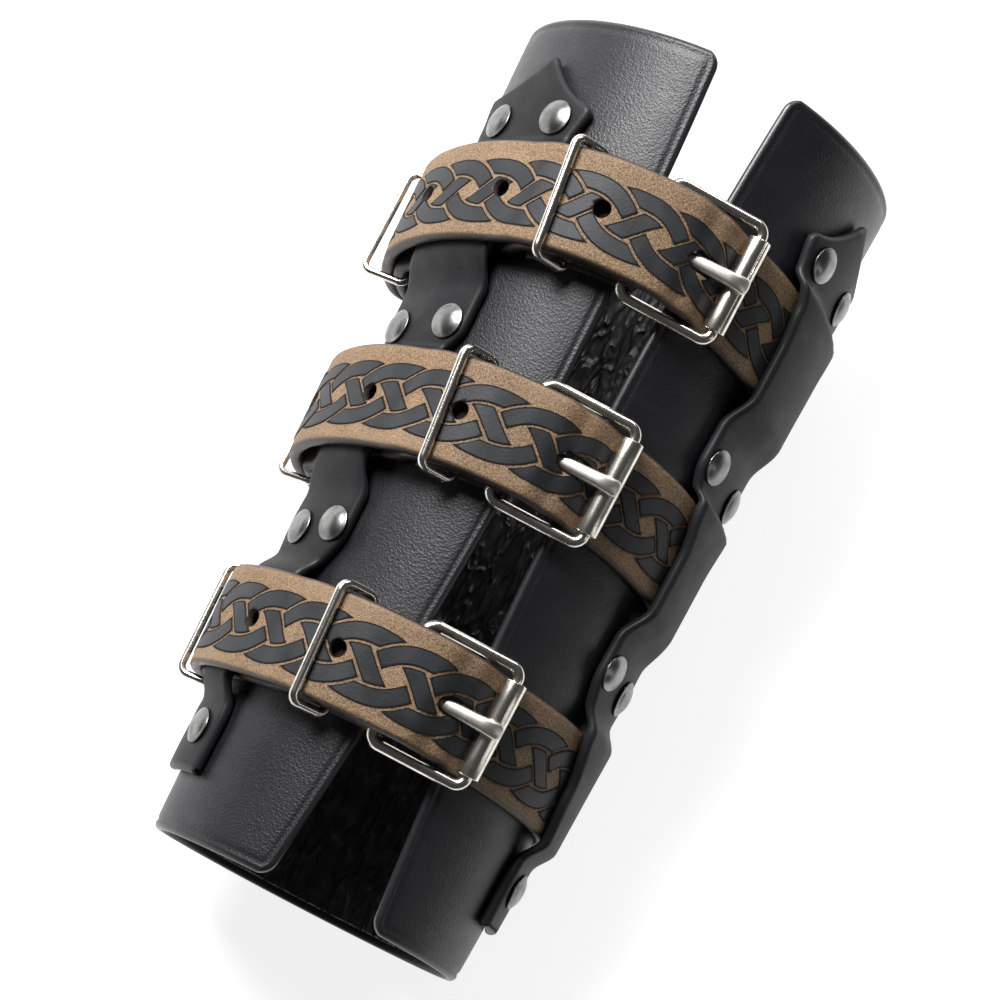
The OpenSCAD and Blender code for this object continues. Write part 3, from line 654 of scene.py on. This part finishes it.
# %% Axes of a buckle and its prong
def buckle_axes(k):
    """The heel bar's middle, the buckle's long direction, its bar's, its normal and its length."""
    row = STRAP_ROW[k]
    heel = spot(-psi_at(HEEL_ARC - SHIFT[k], row), row, HEEL_OFF)
    roller = spot(psi_at(ROLLER_ARC + SHIFT[k], row), row, ROLLER_OFF)
    bar = along_dir(0.0, row)
    reach = roller - heel
    reach = reach - bar * (reach @ bar)
    length = float(np.linalg.norm(reach))
    reach = reach / length
    return heel, reach, bar, np.cross(reach, bar), length


def prong_axes(k):
    """The prong's heel, its long direction, its bar's, its normal and how far the roller is."""
    heel, reach, bar, up, length = buckle_axes(k)
    rise = math.asin((ROLLER_D / 2 + PRONG_D / 2 + SEAT) / length)
    way = reach * math.cos(rise) + up * math.sin(rise)
    return heel, way, bar, np.cross(way, bar), length * math.cos(rise)


def prong_off(k):
    """Height of the prong's axis over the form where it comes through the strap."""
    heel, way = prong_axes(k)[:2]
    psi = float(psi_at(HOLE_ARC + SHIFT[k], STRAP_ROW[k]))
    square = np.array([way[2], 0, -way[0]])
    turn = math.radians(psi)
    out = np.array([math.sin(turn), 0, math.cos(turn)])
    return float((heel - spot(psi, STRAP_ROW[k], 0)) @ square / (out @ square))


print("the prong comes through at", [round(prong_off(k), 1) for k in range(3)], "mm over the shell")

# %% Course of a strap
BEFORE_ROLLER, BEFORE_HEEL, HEEL_RISE, PAST_LEVEL = 1, 6, 0.1, 2
TURN_STEP, FOLD_STEP, DOWN_STEP, BACK_STEP, OVER_STEP, TIP_LINES = 9.0, 1.2, 1.4, 2.4, 1.0, 18


def stations(first, last, step):
    """Even places from first to just before last, about step apart."""
    return np.linspace(first, last, max(2, int(round((last - first) / step)) + 1))[:-1]


def lower_plan(k):
    """Rows of arc, height and thickness of the layer that lies on the shell."""
    a = SIDE_ARC[k]
    return [(SKIVE_ARC, HEEL_OFF + FOLD_R, SKIVED_T), (SKIVE_END, OVER_RING, STRAP_T),
            (LEVEL_END, OVER_RING, STRAP_T), (FLAT_FROM, UNDER_MID, STRAP_T),
            (a - SIDE_RISE, UNDER_MID, STRAP_T), (a - SIDE_NEAR, SIDE_OVER, STRAP_T),
            (a + SIDE_PAST, SIDE_OVER, STRAP_T), (a + SIDE_DOWN, UNDER_MID, STRAP_T)]


def upper_plan(k):
    """Rows of arc and height of the layer that comes back over the fold, one girth further on."""
    g, a, heel = float(girth(STRAP_ROW[k])), SIDE_ARC[k], HEEL_ARC - SHIFT[k]
    above = STRAP_T + SEAT
    return [(g - ROLLER_ARC - SHIFT[k] - BEFORE_ROLLER, UNDER_MID), (g - HOLE_ARC - SHIFT[k], prong_off(k)),
            (g + heel - BEFORE_HEEL, OVER_FOLD - SEAT), (g + heel, OVER_FOLD + HEEL_RISE),
            (g + SKIVE_END, BILLET_HIGH), (g + LEVEL_END + PAST_LEVEL, BILLET_HIGH),
            (g + FLAT_FROM, OVER_BAND), (g + a - SIDE_RISE, OVER_BAND),
            (g + a - SIDE_NEAR, SIDE_OVER + above), (g + a + SIDE_PAST, SIDE_OVER + above),
            (g + a + SIDE_DOWN, UNDER_MID + above)]


def course(k):
    """Stations of strap k as rows of arc, height and thickness."""
    g, heel = float(girth(STRAP_ROW[k])), HEEL_ARC - SHIFT[k]
    turn = np.radians(np.arange(-90, 91, TURN_STEP))
    fold = [(q, FOLD_MID, SKIVED_T) for q in np.arange(FOLD_END, heel + FOLD_STEP / 2, -FOLD_STEP)]
    fold += [(heel - FOLD_R * math.cos(t), HEEL_OFF + FOLD_R * math.sin(t), SKIVED_T) for t in turn]
    low, up = np.array(lower_plan(k)), np.array(upper_plan(k))
    down = np.concatenate([stations(heel + FOLD_STEP, SIDE_ARC[k] + SIDE_DOWN, DOWN_STEP),
                           stations(SIDE_ARC[k] + SIDE_DOWN, up[0, 0], BACK_STEP)])
    lower = [(q, table(low, q, 1), table(low, q, 2)) for q in down]
    tip = g + SIDE_ARC[k] + SIDE_TIP
    over = np.concatenate([stations(up[0, 0], tip - STRAP_W / 2, OVER_STEP),
                           tip - STRAP_W / 2 * (1 - np.sin(np.linspace(0, np.pi / 2, TIP_LINES)))])
    upper = [(q, table(up, q, 1), STRAP_T) for q in over]
    return np.array(fold + lower + upper, float)


def strap_frame(k, path):
    """The angle and the outward direction at each station of strap k."""
    psi = -psi_at(path[:, 0], STRAP_ROW[k])
    line = spot(psi, strap_y(k, psi), path[:, 1])
    ahead = np.gradient(line, axis=0)
    ahead[:, 1] = 0
    ahead = unit(ahead)
    return psi, np.stack([ahead[:, 2], 0 * ahead[:, 0], -ahead[:, 0]], -1)


def strap_spot(k, path, frames, row, across, lift):
    """Points of strap k: row may lie between stations, lift is the height over its middle layer."""
    psi, out = frames
    i = np.clip(np.floor(row).astype(int), 0, len(path) - 2)
    t = (row - i)[..., None]
    here = [spot(psi[j], strap_y(k, psi[j]) + across, path[j, 1]) + out[j] * lift[..., None]
            for j in (i, i + 1)]
    p = here[0] * (1 - t) + here[1] * t
    p[..., 2] = np.maximum(p[..., 2], 0.0)
    return p


print("stations of the middle strap:", len(course(1)))

# %% [markdown]
# ## Cutting and punching
#
# The slab of a strap is as wide as the leather and as long as its course, with a rounded tip. The holes
# are punched after wrapping, with round cutters that stand square to the strap, and the hole that the
# prong stands in has been pulled long. The leather lies over the prong's heel, so a slanting way is
# cut for it inside the leather, tall enough for the prong to lift. A Boolean modifier does the
# punching and is applied at once.
# The walls that a cutter leaves take its nearly black material: painted shade inside the holes.

# %% Punches
PUNCH_SIDES = 32
SLOT_LONG, SLOT_ROOM, SLOT_ON, SLOT_DEEP, HOLE_DEEP = 8.6, 1.8, 0.6, 3 * STRAP_T, STRAP_T + 0.8
COVERED, PRONG_LIFT = 4.0, 7.0  # the leather that is left over the prong, and its lift in degrees
WAY_BACK, WAY_LONG, WAY_TALL, WAY_ROOM = 3.35, 7.7, 1.9, 0.9
EYE_BACK, EYE_ROOM, EYE_OVER, EYE_UNDER = 4.2, 0.8, 0.15, 1


def apply_modifiers(piece):
    """Puts the mesh that the modifiers give in place of the piece's own."""
    mesh = bpy.data.meshes.new_from_object(piece.evaluated_get(bpy.context.evaluated_depsgraph_get()))
    piece.modifiers.clear()
    old, piece.data = piece.data, mesh
    mesh.name = piece.name
    bpy.data.meshes.remove(old)


def axes_matrix(origin, x, y, z):
    """A matrix from three directions and an origin in millimetres."""
    m = Matrix.Identity(4)
    for column, vector in enumerate((x, y, z, np.asarray(origin) * MM)):
        for i in range(3):
            m[i][column] = float(vector[i])
    return m


def add_punch(bm, at, stretch, width, depth):
    """Adds a round or long cutter to bm. at is its place as a matrix."""
    made = bmesh.ops.create_cone(bm, cap_ends=True, segments=PUNCH_SIDES, radius1=width / 2 * MM,
                                 radius2=width / 2 * MM, depth=depth * MM)
    for v in made["verts"]:
        v.co.x += math.copysign(stretch / 2 * MM, v.co.x)
    bmesh.ops.transform(bm, matrix=at, verts=made["verts"])


def strap_place(k, q):
    """Place on the upper layer of strap k at arc q, as a matrix with z outwards."""
    row, up = STRAP_ROW[k], np.array(upper_plan(k))
    psi = -float(psi_at(q, row))
    ends = [spot(-psi_at(q + d, row), strap_y(k, psi), table(up, q + d, 1)) for d in (-1.0, 1.0)]
    e = along_dir(psi, row)
    run = unit(ends[1] - ends[0])
    x = unit(run - e * (run @ e))
    return axes_matrix((ends[0] + ends[1]) / 2, x, e, np.cross(x, e))


def punches(k):
    """The cutters of strap k: one for the prong's long hole, and three round ones."""
    bm = bmesh.new()
    g = float(girth(STRAP_ROW[k]))
    middle = strap_place(k, g - HOLE_ARC - SHIFT[k] + SLOT_ON - COVERED / 2)
    add_punch(bm, middle, SLOT_LONG - COVERED, PRONG_D + SLOT_ROOM, SLOT_DEEP)
    for i in range(3):
        add_punch(bm, strap_place(k, g + FIRST_HOLE[k] + i * HOLE_STEP), 0, HOLE_D, HOLE_DEEP)
    return bm


def tunnel(k):
    """The slanting way of the prong through the leather, with room for it to lift with the frame."""
    heel, way, bar, square, _ = prong_axes(k)
    psi = psi_at(HOLE_ARC + SHIFT[k], STRAP_ROW[k])
    through = float((spot(psi, STRAP_ROW[k], prong_off(k)) - heel) @ way)
    lean = math.radians(PRONG_LIFT / 2)
    run = way * math.cos(lean) + square * math.sin(lean)
    high = square * math.cos(lean) - way * math.sin(lean)
    middle = axes_matrix(heel + run * (through - WAY_BACK), high, -bar, run)
    bm = bmesh.new()
    add_punch(bm, middle, WAY_TALL, PRONG_D + WAY_ROOM, WAY_LONG)
    return bm


def eye_cutter(k):
    """The slot in the fold that the prong's eye turns in."""
    row = STRAP_ROW[k]
    psi = -float(psi_at(HEEL_ARC - SHIFT[k], row))
    e, n = along_dir(psi, row), face_dir(psi, row)
    base = buckle_axes(k)[0] - n * HEEL_OFF
    high = HEEL_OFF + FOLD_R + SKIVED_T / 2 + EYE_OVER
    long, wide, tall = EYE_BACK + FOLD_R + SKIVED_T, EYE_W + EYE_ROOM, high + EYE_UNDER
    bm = bmesh.new()
    bmesh.ops.create_cube(bm, size=MM)
    bmesh.ops.scale(bm, vec=(long, wide, tall), verts=bm.verts)
    centre = Vector((long / 2 - EYE_BACK, 0, tall / 2 - EYE_UNDER)) * MM
    bmesh.ops.translate(bm, vec=centre, verts=bm.verts)
    bmesh.ops.transform(bm, matrix=axes_matrix(base, np.cross(e, n), e, n), verts=bm.verts)
    return bm


def punch(piece, cutters):
    """Cuts the cutters out of the piece, one after the other."""
    for cutter in cutters:
        # Painted shade: the cut walls take this nearly black material, so the holes look dark inside.
        tool = finished(cutter, "punch_tool", HOLE_SHADE_LEATHER)
        cut = piece.modifiers.new("punch", "BOOLEAN")
        cut.operation, cut.solver, cut.object = "DIFFERENCE", "EXACT", tool
        cut.material_mode = "TRANSFER"
        bpy.context.view_layer.update()
        apply_modifiers(piece)
        bpy.data.objects.remove(tool)
    return piece


print("holes of", HOLE_D, "mm,", HOLE_STEP, "mm apart")

# %% Straps
STRAP_LINES, STRAP_EDGE, BLUNT = 20, 1.15, 0.6
# Painted shade: the strap is coloured nearly black where it lies under its own upper layer, up to these
# arcs past its side ring.
DARK_FROM, DARK_OVER = 2, 14  # the strap turns dark just past its side ring, where it runs out of sight


def half_strap(k, arc):
    """Half the width of strap k at that arc, less towards its rounded tip."""
    left = np.clip(float(girth(STRAP_ROW[k])) + SIDE_ARC[k] + SIDE_TIP - arc, 0, STRAP_W / 2)
    return np.sqrt(np.maximum(BLUNT, (STRAP_W / 2) ** 2 - (STRAP_W / 2 - left) ** 2))


def strap(k):
    """Strap k, with its course and the directions of its stations."""
    path = course(k)
    frames = strap_frame(k, path)
    bm = slab(STRAP_LINES, len(path) - 1, along=np.linspace(0, 1, len(path)))
    u, v, w = points_of(bm).T
    row = np.round(v * (len(path) - 1))
    arc, thick = path[row.astype(int), 0], path[row.astype(int), 2]
    half = half_strap(k, arc)
    rim = half * (1 - np.abs(2 * u - 1))
    level = rounded(w, rim, STRAP_EDGE)
    place(bm, strap_spot(k, path, frames, row, half * (2 * u - 1), thick * (level - 0.5)), rim)
    # Painted shade: this attribute makes the strap's colour nearly black from its fold to just past its
    # side ring, under its own upper layer.
    painted_shade = bm.verts.layers.float.new("painted_shade")
    for v, arc_here in zip(bm.verts, arc):
        v[painted_shade] = float(1 - soft((arc_here - SIDE_ARC[k] - DARK_FROM) / DARK_OVER))
    piece = finished(bm, STRAPS[k] + "_strap_leather", STRAP_LEATHER)
    return punch(piece, [punches(k), tunnel(k), eye_cutter(k)]), path, frames


courses = []
for k, name in enumerate(STRAPS):
    piece, path, frames = strap(k)
    courses.append((path, frames))
    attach(piece, "bracer")
    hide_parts(name + "_strap")
    print(piece.name, len(piece.data.polygons), "faces")

# %% [markdown]
# ## The braid
#
# The braid is a plait of four strands, an old interlace that any saddler knows. Each strand is a sine
# wave, a quarter of a wave behind its neighbour, and it goes over and under by turns. A strand is cut
# wherever it dives, so each visible run becomes its own thin plate: arcs along the top, arcs along the
# foot and short bars in the middle. Each end of a plate is trimmed at a fixed distance from the strand
# that it dives under, found by sampling, so its end runs parallel to that strand's edge.

# %% Strands of the braid
PITCH, REACH, SHARPER, HALF_RIBBON, RIBBON_GAP = 14.4, 7.3, 0.07, 2.15, 0.65
DIVES, OVERS, SAMPLES = (45, 180, 315, 405), {45: -1, 180: 2, 315: 1, 405: -1}, 240


def strand(i, x):
    """Height and slope of strand i at place x. A little of the third wave makes its middle steeper."""
    turn = np.pi / 2 * (x / PITCH - i)
    return (REACH * (np.sin(turn) + SHARPER * np.sin(3 * turn)),
            REACH * (np.cos(turn) + 3 * SHARPER * np.cos(3 * turn)) * np.pi / 2 / PITCH)


def strand_line(i, x, side):
    """Points of a line that runs beside strand i."""
    z, slope = strand(i, x)
    size = np.sqrt(1 + slope ** 2)
    return x - side * slope / size, z + side / size


def trim(i, over, x0, x1, side):
    """Where the line beside strand i is clear of the strand over it, between x0 and x1."""
    x = np.linspace(x0, x1, SAMPLES)
    px, pz = strand_line(i, x, side)
    z, slope = strand(over, px)
    clear = np.abs(pz - z) / np.sqrt(1 + slope ** 2) - HALF_RIBBON - RIBBON_GAP
    first = int(np.argmax(clear > 0))
    return x[first] if clear[first] > 0 else x1


def runs(start, stop):
    """The visible runs of all strands between two places: strand, ends, and the strands over them."""
    found = []
    for i in range(4):
        for wave in range(int(start / PITCH / 4) - 3, int(stop / PITCH / 4) + 3):
            for dives in zip(DIVES, DIVES[1:]):
                x0, x1 = [PITCH * (i + 4 * wave + turn / 90) for turn in dives]
                if x0 > start and x1 < stop:
                    found.append((i, x0, x1, *[i + OVERS[turn] for turn in dives]))
    return found


print("runs of the braid on 100 mm of strap:", len(runs(0.0, 100.0)))

# %% Braids
BAR_AT, BRAID_PITCH, BRAID_SIZE = (10.8, 4.9, 4.4), (14.2, 14.8, 14.5), (1.0, 1.0, 1.06)
BRAID_MIDDLE, BRAID_TURN = (-1.0, -0.4, -0.6), (-1, 1, 1)
BRAID_FROM, BRAID_STOP, BRAID_ARC = 4, 8, 60  # how far it stays off both ends, and where it may begin
PLATE_GRID, PROUD, SUNK = (6, 18), 0.22, 0.12


def measured(k, path, frames):
    """Rows of the course that carry the braid, and their lengths along the leather from its front."""
    rows = np.arange(int(np.argmax(path[:, 0] > SIDE_ARC[k] + SIDE_TIP)), len(path))
    rows = rows[path[rows, 0] > BRAID_ARC].astype(float)
    line = strap_spot(k, path, frames, rows, 0 * rows, 0 * rows + STRAP_T / 2)
    lengths = np.concatenate([[0], np.cumsum(np.linalg.norm(np.diff(line, axis=0), axis=1))])
    return rows, lengths - np.interp(float(girth(STRAP_ROW[k])), path[rows.astype(int), 0], lengths)


def braid(k, path, frames):
    """All plates of the braid on strap k, as one piece."""
    bm = bmesh.new()
    rows, lengths = measured(k, path, frames)
    stretch = BRAID_PITCH[k] / PITCH
    start = (lengths[0] + BRAID_FROM - BAR_AT[k]) / stretch
    stop = (lengths[-1] - BRAID_STOP - BAR_AT[k]) / stretch
    for i, x0, x1, over0, over1 in runs(start, stop):
        plate = slab(*PLATE_GRID)
        u, v, w = points_of(plate).T
        side = (2 * u - 1) * HALF_RIBBON
        middle = (x0 + x1) / 2
        ends = {s: (trim(i, over0, x0, middle, s), trim(i, over1, x1, middle, s))
                for s in set(np.round(side, 4))}
        first, last = np.array([ends[s] for s in np.round(side, 4)]).T
        x = mix(first, last, v)
        px, pz = strand_line(i, x, side)
        rim = np.minimum(HALF_RIBBON - np.abs(side), np.minimum(x - first, last - x))
        row = np.interp(px * stretch + BAR_AT[k], lengths, rows)
        across = BRAID_MIDDLE[k] + pz * BRAID_SIZE[k] * BRAID_TURN[k]
        level = STRAP_T / 2 - SUNK + (PROUD + SUNK) * w
        place(plate, strap_spot(k, path, frames, row, across, level), rim)
        bmesh.ops.recalc_face_normals(plate, faces=plate.faces[:])
        add_part(bm, plate)
    return finished(bm, STRAPS[k] + "_braid", RIBBON_LEATHER, crease=35)


for k, name in enumerate(STRAPS):
    piece = braid(k, *courses[k])
    punch(piece, [punches(k), tunnel(k)])
    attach(piece, "bracer")
    print(piece.name, len(piece.data.polygons), "faces")

# %% [markdown]
# ## Rollers and prongs
#
# A roller is a strip of sheet metal rolled into a tube that turns on the frame. Its seam stays visible
# as a thin line. It is spun from the outline of its wall, stopping just short of a full turn.
# The prong is a stout tongue that is curled round the heel bar. It is drawn out from a ring of points
# that is carried along its length, flattened where it lies on the roller and rounded at its tip.

# %% Rollers
def lathe(outline, turn, steps):
    """Spins an outline of (radius, height) pairs about the y axis and closes it."""
    bm = bmesh.new()
    points = [bm.verts.new((r * MM, h * MM, 0)) for r, h in outline]
    edges = [bm.edges.new(pair) for pair in zip(points, points[1:])]
    bmesh.ops.spin(bm, geom=points + edges, cent=(0, 0, 0), axis=(0, 1, 0), angle=math.radians(turn),
                   steps=steps, use_merge=turn == 360)
    return sealed(bm)


FRAME_INNER, FRAME_CORNER, ROLLER_END = STRAP_W + 1.6, 2.8, 0.8
ROLLER_W = FRAME_INNER + FRAME_WIRE - 2 * FRAME_CORNER - ROLLER_END
ROLLER_PLAY, LIP, BURR, SEAM_TURN, ROLLED = 0.08, 0.3, 0.12, (-58, 40, 64), 352


def roller(k):
    """The tube of buckle k, rolled up to its seam, with rounded lips."""
    heel, reach, bar, up, length = buckle_axes(k)
    out, inner, half = ROLLER_D / 2, FRAME_WIRE / 2 + ROLLER_PLAY, ROLLER_W / 2
    outline = [(inner, 0), (inner, half - 0.1), (inner + BURR, half), (out - LIP, half)]
    outline += [(out - LIP + LIP * math.sin(t), half - LIP + LIP * math.cos(t)) for t in (0.5, 1.05, 1.57)]
    outline += [(out, half * share) for share in (0.6, 0.2)]
    outline += [(r, -h) for r, h in outline[::-1]]
    bm = lathe(outline + [outline[0]], ROLLED, 52)
    seam = Matrix.Rotation(math.radians(SEAM_TURN[k]), 4, "Y")
    at = axes_matrix(heel + reach * length, reach, bar, up) @ seam
    bmesh.ops.transform(bm, matrix=at, verts=bm.verts)
    return finished(bm, STRAPS[k] + "_roller_tube", ROLLER_NICKEL)


for k, name in enumerate(STRAPS):
    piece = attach(roller(k), name + "_tube")
    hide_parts(name + "_roller")
print("rollers made")

# %% Prongs
PRONG_SIDES, SQUARISH = 28, 0.78
# Rows for drawn(): at the heel, then from where the prong bends over the roller, both flat on top.
PRONG_HEEL = ((2.0, 0, 3.2, 3.0), (4, 0, 3.4, 3.1))
PRONG_BACK = ((-8, 0, 3.6, 3.1), (-5, 0, 3.7, 3.05), (-2.4, 0, 3.8, 3.0), (-0.6, 0, 3.9, 2.9),
              (-0.1, -0.02, 3.95, 2.85))
BEND_AT, BEND_R, BEND_DROP, BEND_WIDE, BEND_TALL = 1.4, 5.5, 0.05, 4.0, 2.8
BEND_TURNS, TIP_TURNS = (0.12, 0.24, 0.36, 0.48, 0.58, 0.66), (0.5, 0.9, 1.2, 1.42, 1.55)
TIP_LONG, TIP_DROP, TIP_WIDE, TIP_TALL, TIP_ROUND = 1.0, 0.72, 4.4, 2.1, 0.6
EYE_WALL, EYE_BORE = 1.7, ((1.58, 0.2), (1.8, 0))  # the wall over the bar, and its bore's rounded mouth


def drawn(path):
    """A bar drawn along path: rows of place x, place z, width and height in mm, in one plane."""
    path = np.array(path, float)
    bm = bmesh.new()
    bmesh.ops.create_grid(bm, x_segments=PRONG_SIDES, y_segments=len(path) - 1, size=0.5)
    way = unit(np.gradient(path[:, :2], axis=0))
    for v in bm.verts:
        turn, n = 2 * math.pi * (v.co.x + 0.5), round((v.co.y + 0.5) * (len(path) - 1))
        x, z, wide, tall = path[n]
        across, high = (math.copysign(abs(part) ** SQUARISH, part)
                        for part in (math.cos(turn), math.sin(turn)))
        v.co = Vector((x - way[n, 1] * high * tall / 2, across * wide / 2,
                       z + way[n, 0] * high * tall / 2)) * MM
    return sealed(bm)


def prong_path(along):
    """The prong's line from its heel: straight, bent down over the roller, and closed at its tip."""
    over = along - BEND_AT
    path = [*PRONG_HEEL, *[(over + back, *rest) for back, *rest in PRONG_BACK]]
    for turn in BEND_TURNS:
        path.append((over + BEND_R * math.sin(turn), BEND_R * math.cos(turn) - BEND_R - BEND_DROP,
                     BEND_WIDE + 0.6 * turn, BEND_TALL - turn))
    x, z = path[-1][:2]
    for turn in TIP_TURNS:
        size = math.cos(turn) ** TIP_ROUND
        path.append((x + TIP_LONG * math.sin(turn), z - TIP_DROP * math.sin(turn),
                     TIP_WIDE * size, TIP_TALL * size))
    return path


def prong_eye():
    """The curl round the heel bar."""
    wall, half = FRAME_WIRE / 2 + EYE_WALL, EYE_W / 2
    rounds = (*EYE_BORE, (wall - 0.4, 0), (wall - 0.1, 0.15), (wall, 0.5))
    outline = [(r, inset - half) for r, inset in rounds]
    outline += [(r, -h) for r, h in outline[::-1]]
    return lathe(outline + [outline[0]], 360, 40)


def prong(k):
    heel, way, bar, square, along = prong_axes(k)
    bm = drawn(prong_path(along))
    add_part(bm, prong_eye())
    bmesh.ops.transform(bm, matrix=axes_matrix(heel, way, bar, square), verts=bm.verts)
    return finished(bm, STRAPS[k] + "_prong_tongue", PRONG_NICKEL)


for k, name in enumerate(STRAPS):
    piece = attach(prong(k), name + "_tongue")
    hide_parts(name + "_prong")
print("prongs made")

# %% [markdown]
# ## Rivets
#
# A rivet has a low dome with a thin lip round its foot and a shank that runs through band, shell and
# lining into a cap inside. All of it is one outline spun round an axis, which a lathe would turn too.

# %% Rivets
# Places of the rivets: from the wrist end, and the arc from the front.
RIVET_PLAN = ((200.4, 41.5), (197.9, 61.5), (142.6, 41.5), (138.8, 58.8), (85.3, 43.6), (82.4, 56.0),
              (27.0, 55.0))
HEAD_OFF, HEAD_STEPS = SEAT + BAND_T + 0.15, 40
# The outline of a rivet as (radius, height) pairs: shank, foot, lip and dome.
HEAD = [(0, -8.1), (1.45, -8.1), (1.5, -8.0), (1.5, 0.02), (4.45, 0.02), (4.72, 0.08), (4.8, 0.24),
        (4.74, 0.4), (4.55, 0.5), (4.3, 0.56), (3.8, 0.86), (3.1, 1.2), (2.3, 1.46), (1.4, 1.63),
        (0.6, 1.69), (0, 1.7)]


def rivets(side, name):
    """The seven rivets of one band as one piece."""
    bm = bmesh.new()
    for y, arc in RIVET_PLAN:
        psi = side * float(psi_at(arc, y))
        n, e = face_dir(psi, y), along_dir(psi, y)
        head = lathe(HEAD, 360, HEAD_STEPS)
        at = axes_matrix(spot(psi, y, 0) + n * HEAD_OFF, e, n, np.cross(e, n))
        bmesh.ops.transform(head, matrix=at, verts=head.verts)
        add_part(bm, head)
    return finished(bm, name, PEWTER)


for side, hand in ((-1, "left"), (1, "right")):
    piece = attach(rivets(side, hand + "_rivet_heads"), "bracer")
    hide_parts(hand + "_rivets")
print("rivets made")

# %% [markdown]
# ## The solids that stay
#
# The buckle frames and the rings are bent from round wire, and the solids already have that shape.
# They stay as they are and only get their finish, as do the caps and the rivets of the folds.

# %% Finish of the solids that stay
for name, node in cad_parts.items():
    if not node.hide_render:
        metal = PEWTER if "rivet" in name else NICKEL
        node.data.materials.clear()
        node.data.materials.append(metal)
        print(name, "in", metal.name)

# %% [markdown]
# ## Floor, light and camera
#
# The bracer lies on a pale floor under soft studio light: a wide light above and to the left, a
# strip from the elbow side for the edges of the leather and a thin, weak one on the right. The floor
# glows a little by itself, so that it comes out white however soft the light is. The camera looks
# almost straight down on the buckles from the wrist side, and is turned so that the arm runs up to
# the right.

# %% Stage
FLOOR_GREY, FLOOR_SIZE, FLOOR_DROP, WHITE = (0.45, 0.45, 0.45), 3.0, 0.0004, (1.0, 1.0, 1.0)
# Each light: its name, its place, the point it faces, its width and height in metres, and its watts.
LIGHTS = (("wide light", (-0.74, 0.50, 0.78), (-0.02, 0.06, 0.06), 0.50, 0.60, 26),
          ("elbow strip", (-0.1, 0.85, 0.5), (0, 0.08, 0.06), 0.7, 0.2, 4),
          ("right strip", (0.80, -0.10, 0.50), (0, 0, 0.05), 0.10, 0.7, 0.35))


def light(name, at, towards, wide, tall, watts):
    lamp = bpy.data.lights.new(name, "AREA")
    lamp.shape, lamp.size, lamp.size_y, lamp.energy = "RECTANGLE", wide, tall, watts
    item = bpy.data.objects.new(name, lamp)
    item.location = at
    item.rotation_euler = (Vector(towards) - Vector(at)).to_track_quat("-Z", "Y").to_euler()
    bpy.context.scene.collection.objects.link(item)


bm = bmesh.new()
bmesh.ops.create_grid(bm, x_segments=1, y_segments=1, size=FLOOR_SIZE)
bmesh.ops.translate(bm, vec=(0, 0, -FLOOR_DROP), verts=bm.verts)
paper = Finish("floor").done(Base_Color=FLOOR_GREY, Roughness=0.9, Emission_Color=WHITE,
                             Emission_Strength=0.84)
floor = finished(bm, "floor", paper)

world = bpy.data.worlds.new("studio")
world.use_nodes = True
world.node_tree.nodes["Background"].inputs["Color"].default_value = (*WHITE, 1)
world.node_tree.nodes["Background"].inputs["Strength"].default_value = 0.05
bpy.context.scene.world = world
for each in LIGHTS:
    light(*each)
bpy.context.scene.view_settings.view_transform = "Standard"
print("lights:", [each[0] for each in LIGHTS])

# %% Camera
# The point looked at and the distance in mm, three angles in degrees, and the focal length in pixels.
AIM, DISTANCE, TILT, YAW, ROLL, FOCAL = (-3.956, -0.855, 40.0), 800.0, 11.072, -4.898, 27.381, 3108.4
PICTURE_W, SENSOR_W, CLIP = 1000, 36.0, (0.05, 10)


def camera():
    tilt, yaw, roll = (math.radians(a) for a in (TILT, YAW, ROLL))
    aim = np.array(AIM)
    back = np.array([math.sin(yaw) * math.cos(tilt), -math.sin(tilt), math.cos(tilt) * math.cos(yaw)])
    eye = aim + DISTANCE * back
    ahead = unit(aim - eye)
    right = unit(np.cross(ahead, [0, 1, 0]))
    up = np.cross(right, ahead)
    x = math.cos(roll) * right + math.sin(roll) * up
    y = -math.sin(roll) * right + math.cos(roll) * up
    lens = bpy.data.cameras.new("camera")
    lens.sensor_width, lens.lens = SENSOR_W, FOCAL * SENSOR_W / PICTURE_W
    lens.clip_start, lens.clip_end = CLIP
    item = bpy.data.objects.new("camera", lens)
    item.matrix_world = axes_matrix(eye, x, y, -ahead)
    bpy.context.scene.collection.objects.link(item)
    bpy.context.scene.camera = item


camera()
